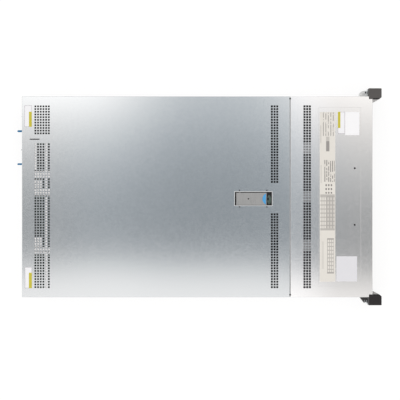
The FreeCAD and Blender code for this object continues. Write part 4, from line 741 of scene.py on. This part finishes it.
# Stickers: body, extent along X and Y, paper, and the layers beneath them
STICKERS = {
    "long_label": ("chassis", mm(272.4, 307.0), mm(-188.9, 188.4), "printed", 0),
    "square_label_left": ("chassis", mm(329.0, 360.3), mm(137.3, 188.4), "white", 0),
    "square_label_right": ("chassis", mm(309.6, 355.4), mm(-188.2, -132.4), "pale", 0),
    "two_tone_front": ("chassis", mm(312.8, 328.3), mm(140.6, 188.9), "bordered", 0),
    "two_tone_front_stripe": ("chassis", mm(312.8, 318.3), mm(152.9, 188.9), "yellow", 1),
    "two_tone_rear_left": ("cover", mm(-384.3, -367.9), mm(155.5, 203.1), "bordered", 0),
    "two_tone_rear_left_stripe": ("cover", mm(-374.2, -367.9), mm(155.5, 189.1), "yellow", 1),
    "two_tone_rear_right": ("cover", mm(-383.3, -367.7), mm(-203.3, -156.4), "bordered", 0),
    "two_tone_rear_right_stripe": ("cover", mm(-374.4, -367.7), mm(-203.3, -168.9), "yellow", 1),
}
STICKER_BORDER = mm(0.8)
BORDER_GREY = (0.46, 0.44, 0.48)

# Paper stocks: two shades
PAPERS = {
    "printed": ((0.715, 0.70, 0.65), (0.775, 0.76, 0.71)),
    "white": ((0.88, 0.895, 0.915), (0.92, 0.935, 0.955)),
    "bordered": ((0.84, 0.855, 0.88), (0.88, 0.895, 0.92)),
    "pale": ((0.70, 0.71, 0.75), (0.75, 0.76, 0.79)),
    "yellow": ((0.53, 0.475, 0.025), (0.58, 0.52, 0.04)),
}

# Plain printing of the long label: kind, extent along X and Y, ink, and its pitch along X and Y
LABEL_INK = (0.16, 0.15, 0.15)
LINE_SHARE_X = 0.18
LINE_SHARE_Y = 0.14
DOT_SHARE = 0.25
STROKE_BREAKS = 170.0
STROKE_BREAK = 0.45
LABEL_PRINT = [
    ("strokes", mm(277.6, 305.0), mm(135.3, 187.3), 0.6, mm(5.5), 0),
    ("bar", mm(273.0, 276.1), mm(119.1, 158.7), 0.22, 0, 0),
    ("bar", mm(286.5, 293.9), mm(123.7, 133.7), 0.35, 0, 0),
    ("bar", mm(286.5, 293.9), mm(101.1, 123.7), 0.75, 0, 0),
    ("strokes", mm(280.5, 305.5), mm(33.2, 81.7), 1.0, mm(4.3), 0),
    ("bar", mm(280.5, 305.5), mm(33.2, 81.7), 0.06, 0, 0),
    ("bar", mm(274.1, 276.9), mm(30.6, 70.6), 0.18, 0, 0),
    ("dots", mm(284.3, 300.6), mm(7.0, 29.0), 0.95, mm(5.85), mm(8.6)),
    ("table", mm(273.6, 286.5), mm(-70.1, 1.4), 0.45, mm(4.7), mm(9.1)),
    ("bar", mm(286.7, 305.8), mm(-70.1, 1.4), 0.26, 0, 0),
    ("table", mm(286.7, 305.8), mm(-70.1, 1.4), 0.30, mm(6.4), mm(9.1)),
    ("bar", mm(273.6, 305.8), mm(1.4, 5.2), 0.45, 0, 0),
    ("bar", mm(273.6, 305.8), mm(-74.8, -70.1), 0.45, 0, 0),
    ("table", mm(288.7, 303.9), mm(-167.4, -95.5), 0.45, mm(4.6), mm(8.5)),
    ("bar", mm(288.7, 303.9), mm(-95.5, -92.2), 0.6, 0, 0),
    ("bar", mm(288.7, 303.9), mm(-170.7, -167.4), 0.6, 0, 0),
    ("bar", mm(276.9, 281.6), mm(-160.6, -99.3), 0.14, 0, 0),
]


def ruled(axis, pitch, share):
    """1 on lines across an axis, 0 between them."""
    return axis.folded(pitch) < pitch * share


def label_ink(paint):
    """Faint bars, broken strokes, dots and empty tables."""
    x, y, z = paint.axes()
    breaks = paint.noise(STROKE_BREAKS) > STROKE_BREAK
    ink = 0.0
    for kind, along, across, strength, pitch_x, pitch_y in LABEL_PRINT:
        mark = x.inside(along) * y.inside(across) * strength
        if kind == "strokes":
            mark = mark * ruled(x, pitch_x, LINE_SHARE_X) * breaks
        if kind == "dots":
            mark = mark * ruled(x, pitch_x, DOT_SHARE) * ruled(y, pitch_y, DOT_SHARE)
        if kind == "table":
            mark = mark * ruled(x, pitch_x, LINE_SHARE_X).larger(ruled(y, pitch_y, LINE_SHARE_Y))
        ink = ink + mark
    return ink


def paper(name, kind, extent, roughness=0.55):
    """Sticker stock with a soft unevenness, its printing and its border."""
    paint = Paint(name, roughness)
    colour = paint.mix(paint.noise(PAPER_CLOUDS, detail=3.0), *PAPERS[kind])
    if kind == "printed":
        colour = paint.mix(label_ink(paint), colour, LABEL_INK)
    if kind == "bordered":
        x, y, z = paint.axes()
        inner = [(low + STICKER_BORDER, high - STICKER_BORDER) for low, high in extent]
        colour = paint.mix(x.inside(inner[0]) * y.inside(inner[1]), BORDER_GREY, colour)
    paint.colour(colour)
    paint.uneven(paint.noise(PAPER_GRAIN), roughness, PAPER_SPREAD)
    return paint.material


def make_stickers():
    """Stickers of both covers, each on the layers beneath it."""
    for name, (body, along, across, kind, layers) in STICKERS.items():
        in_recess = within(along[0], across[0], RECESS)
        base = COVER_TOP - (RECESS_DEPTH if in_recess else 0.0) + layers * STICKER_THICK
        shape = bmesh.new()
        add_box(shape, (along[0], across[0], base), (along[1], across[1], base + STICKER_THICK))
        finish_piece(name, shape, paper(name + "_paper", kind, (along, across)), body)


# Studio

def make_floor():
    """Pale floor with a faint shadow of the server, white to the camera and in mirroring metal."""
    shape = bmesh.new()
    bmesh.ops.create_grid(shape, x_segments=1, y_segments=1, size=FLOOR_HALF)
    mesh = bpy.data.meshes.new("floor")
    shape.to_mesh(mesh)
    shape.free()
    floor = bpy.data.objects.new("floor", mesh)
    floor.location = (0, 0, cad_box[0][2] - FLOOR_GAP)
    bpy.context.scene.collection.objects.link(floor)
    paint = Paint("floor", 0.9)
    paint.inputs["Base Color"].default_value = FLOOR_GREY
    kinds = ("Is Camera Ray", "Is Glossy Ray", "Is Transmission Ray")
    camera, glossy, transmission = [paint.node("ShaderNodeLightPath", {}, kind) for kind in kinds]
    seen = camera.larger(glossy).larger(transmission)
    white = paint.node("ShaderNodeEmission", {"Strength": FLOOR_WHITE})
    grey = Field(paint, paint.tree.nodes["Principled BSDF"].outputs[0])
    both = paint.node("ShaderNodeMixShader", {0: seen * (1 - FLOOR_SHADOW), 1: grey, 2: white})
    paint.feed(paint.tree.nodes["Material Output"].inputs["Surface"], both)
    mesh.materials.append(paint.material)


def make_light():
    """Plain room with a sky: dim and bluish overhead, brighter to the corners at +Y and along -Y."""
    world = bpy.data.worlds.new("room")
    world.use_nodes = True
    bpy.context.scene.world = world
    room = Nodes(world.node_tree, "Generated")
    x, y, z = room.axes()
    upright = z.clamped(HORIZON, 1.0)
    slope_x = x / upright
    slope_y = y / upright
    across = slope_x.clamped(*SLOPE_X)
    along = slope_y.clamped(*SLOPE_Y)

    ends = (CORNER_REAR, CORNER_FRONT)
    sides = sum(room.ramp(across, start, end) * level for start, end, level in ends)
    corners = (sides + CORNER_LEVEL) * ((along - CORNER_EDGE) / CORNER_FADE).exponential()
    shift = sum(room.ramp(across, start, end) * step for start, end, step in BAND_SHIFTS)
    band = room.ramp(along + shift, *BAND)
    front = room.ramp(across, *FRONT_END)
    rear = room.ramp(across, *REAR_END)
    glow_x, glow_y, glow_level = FRONT_GLOW
    glow = room.ramp(across, *glow_x) * room.ramp(along, *glow_y) * glow_level
    overhead = corners + band + glow + front * FRONT_LEVEL + rear * REAR_LEVEL + DIM_LEVEL
    low, high = ROOM_LEVELS
    around = room.ramp(z, *ROOM_RISE) * (high - low) + low
    outward = (abs(slope_x) / SLOPE_X[1]).larger(abs(slope_y) / SLOPE_Y[1])
    far = room.ramp(outward, *ROOM_EDGE)
    light = overhead + (around - overhead) * far
    neutral = corners + band + far + front * FRONT_NEUTRAL + rear * REAR_NEUTRAL
    tint = room.mix(neutral, DIM_SKY, BRIGHT_SKY)

    seen = room.node("ShaderNodeLightPath", {}, "Is Camera Ray")
    background = world.node_tree.nodes["Background"].inputs
    room.feed(background["Color"], room.mix(seen, tint, (1.0, 1.0, 1.0)))
    room.feed(background["Strength"], light + (1 - light) * seen)


def make_camera():
    """Camera straight above, with the front of the server to the right."""
    data = bpy.data.cameras.new("camera")
    data.sensor_width = SENSOR
    data.lens = SENSOR * CAMERA_ABOVE_COVER / (IMAGE_PIXELS * PIXEL)
    data.clip_end = FAR_CLIP
    camera = bpy.data.objects.new("camera", data)
    camera.location = (*VIEW_CENTRE, COVER_TOP + CAMERA_ABOVE_COVER)
    bpy.context.scene.collection.objects.link(camera)
    bpy.context.scene.camera = camera


all_paints = make_paints()
dress_nodes(all_paints)
make_covers(all_paints)
make_stickers()
make_floor()
make_light()
make_camera()
bpy.context.scene.view_settings.view_transform = "Standard"
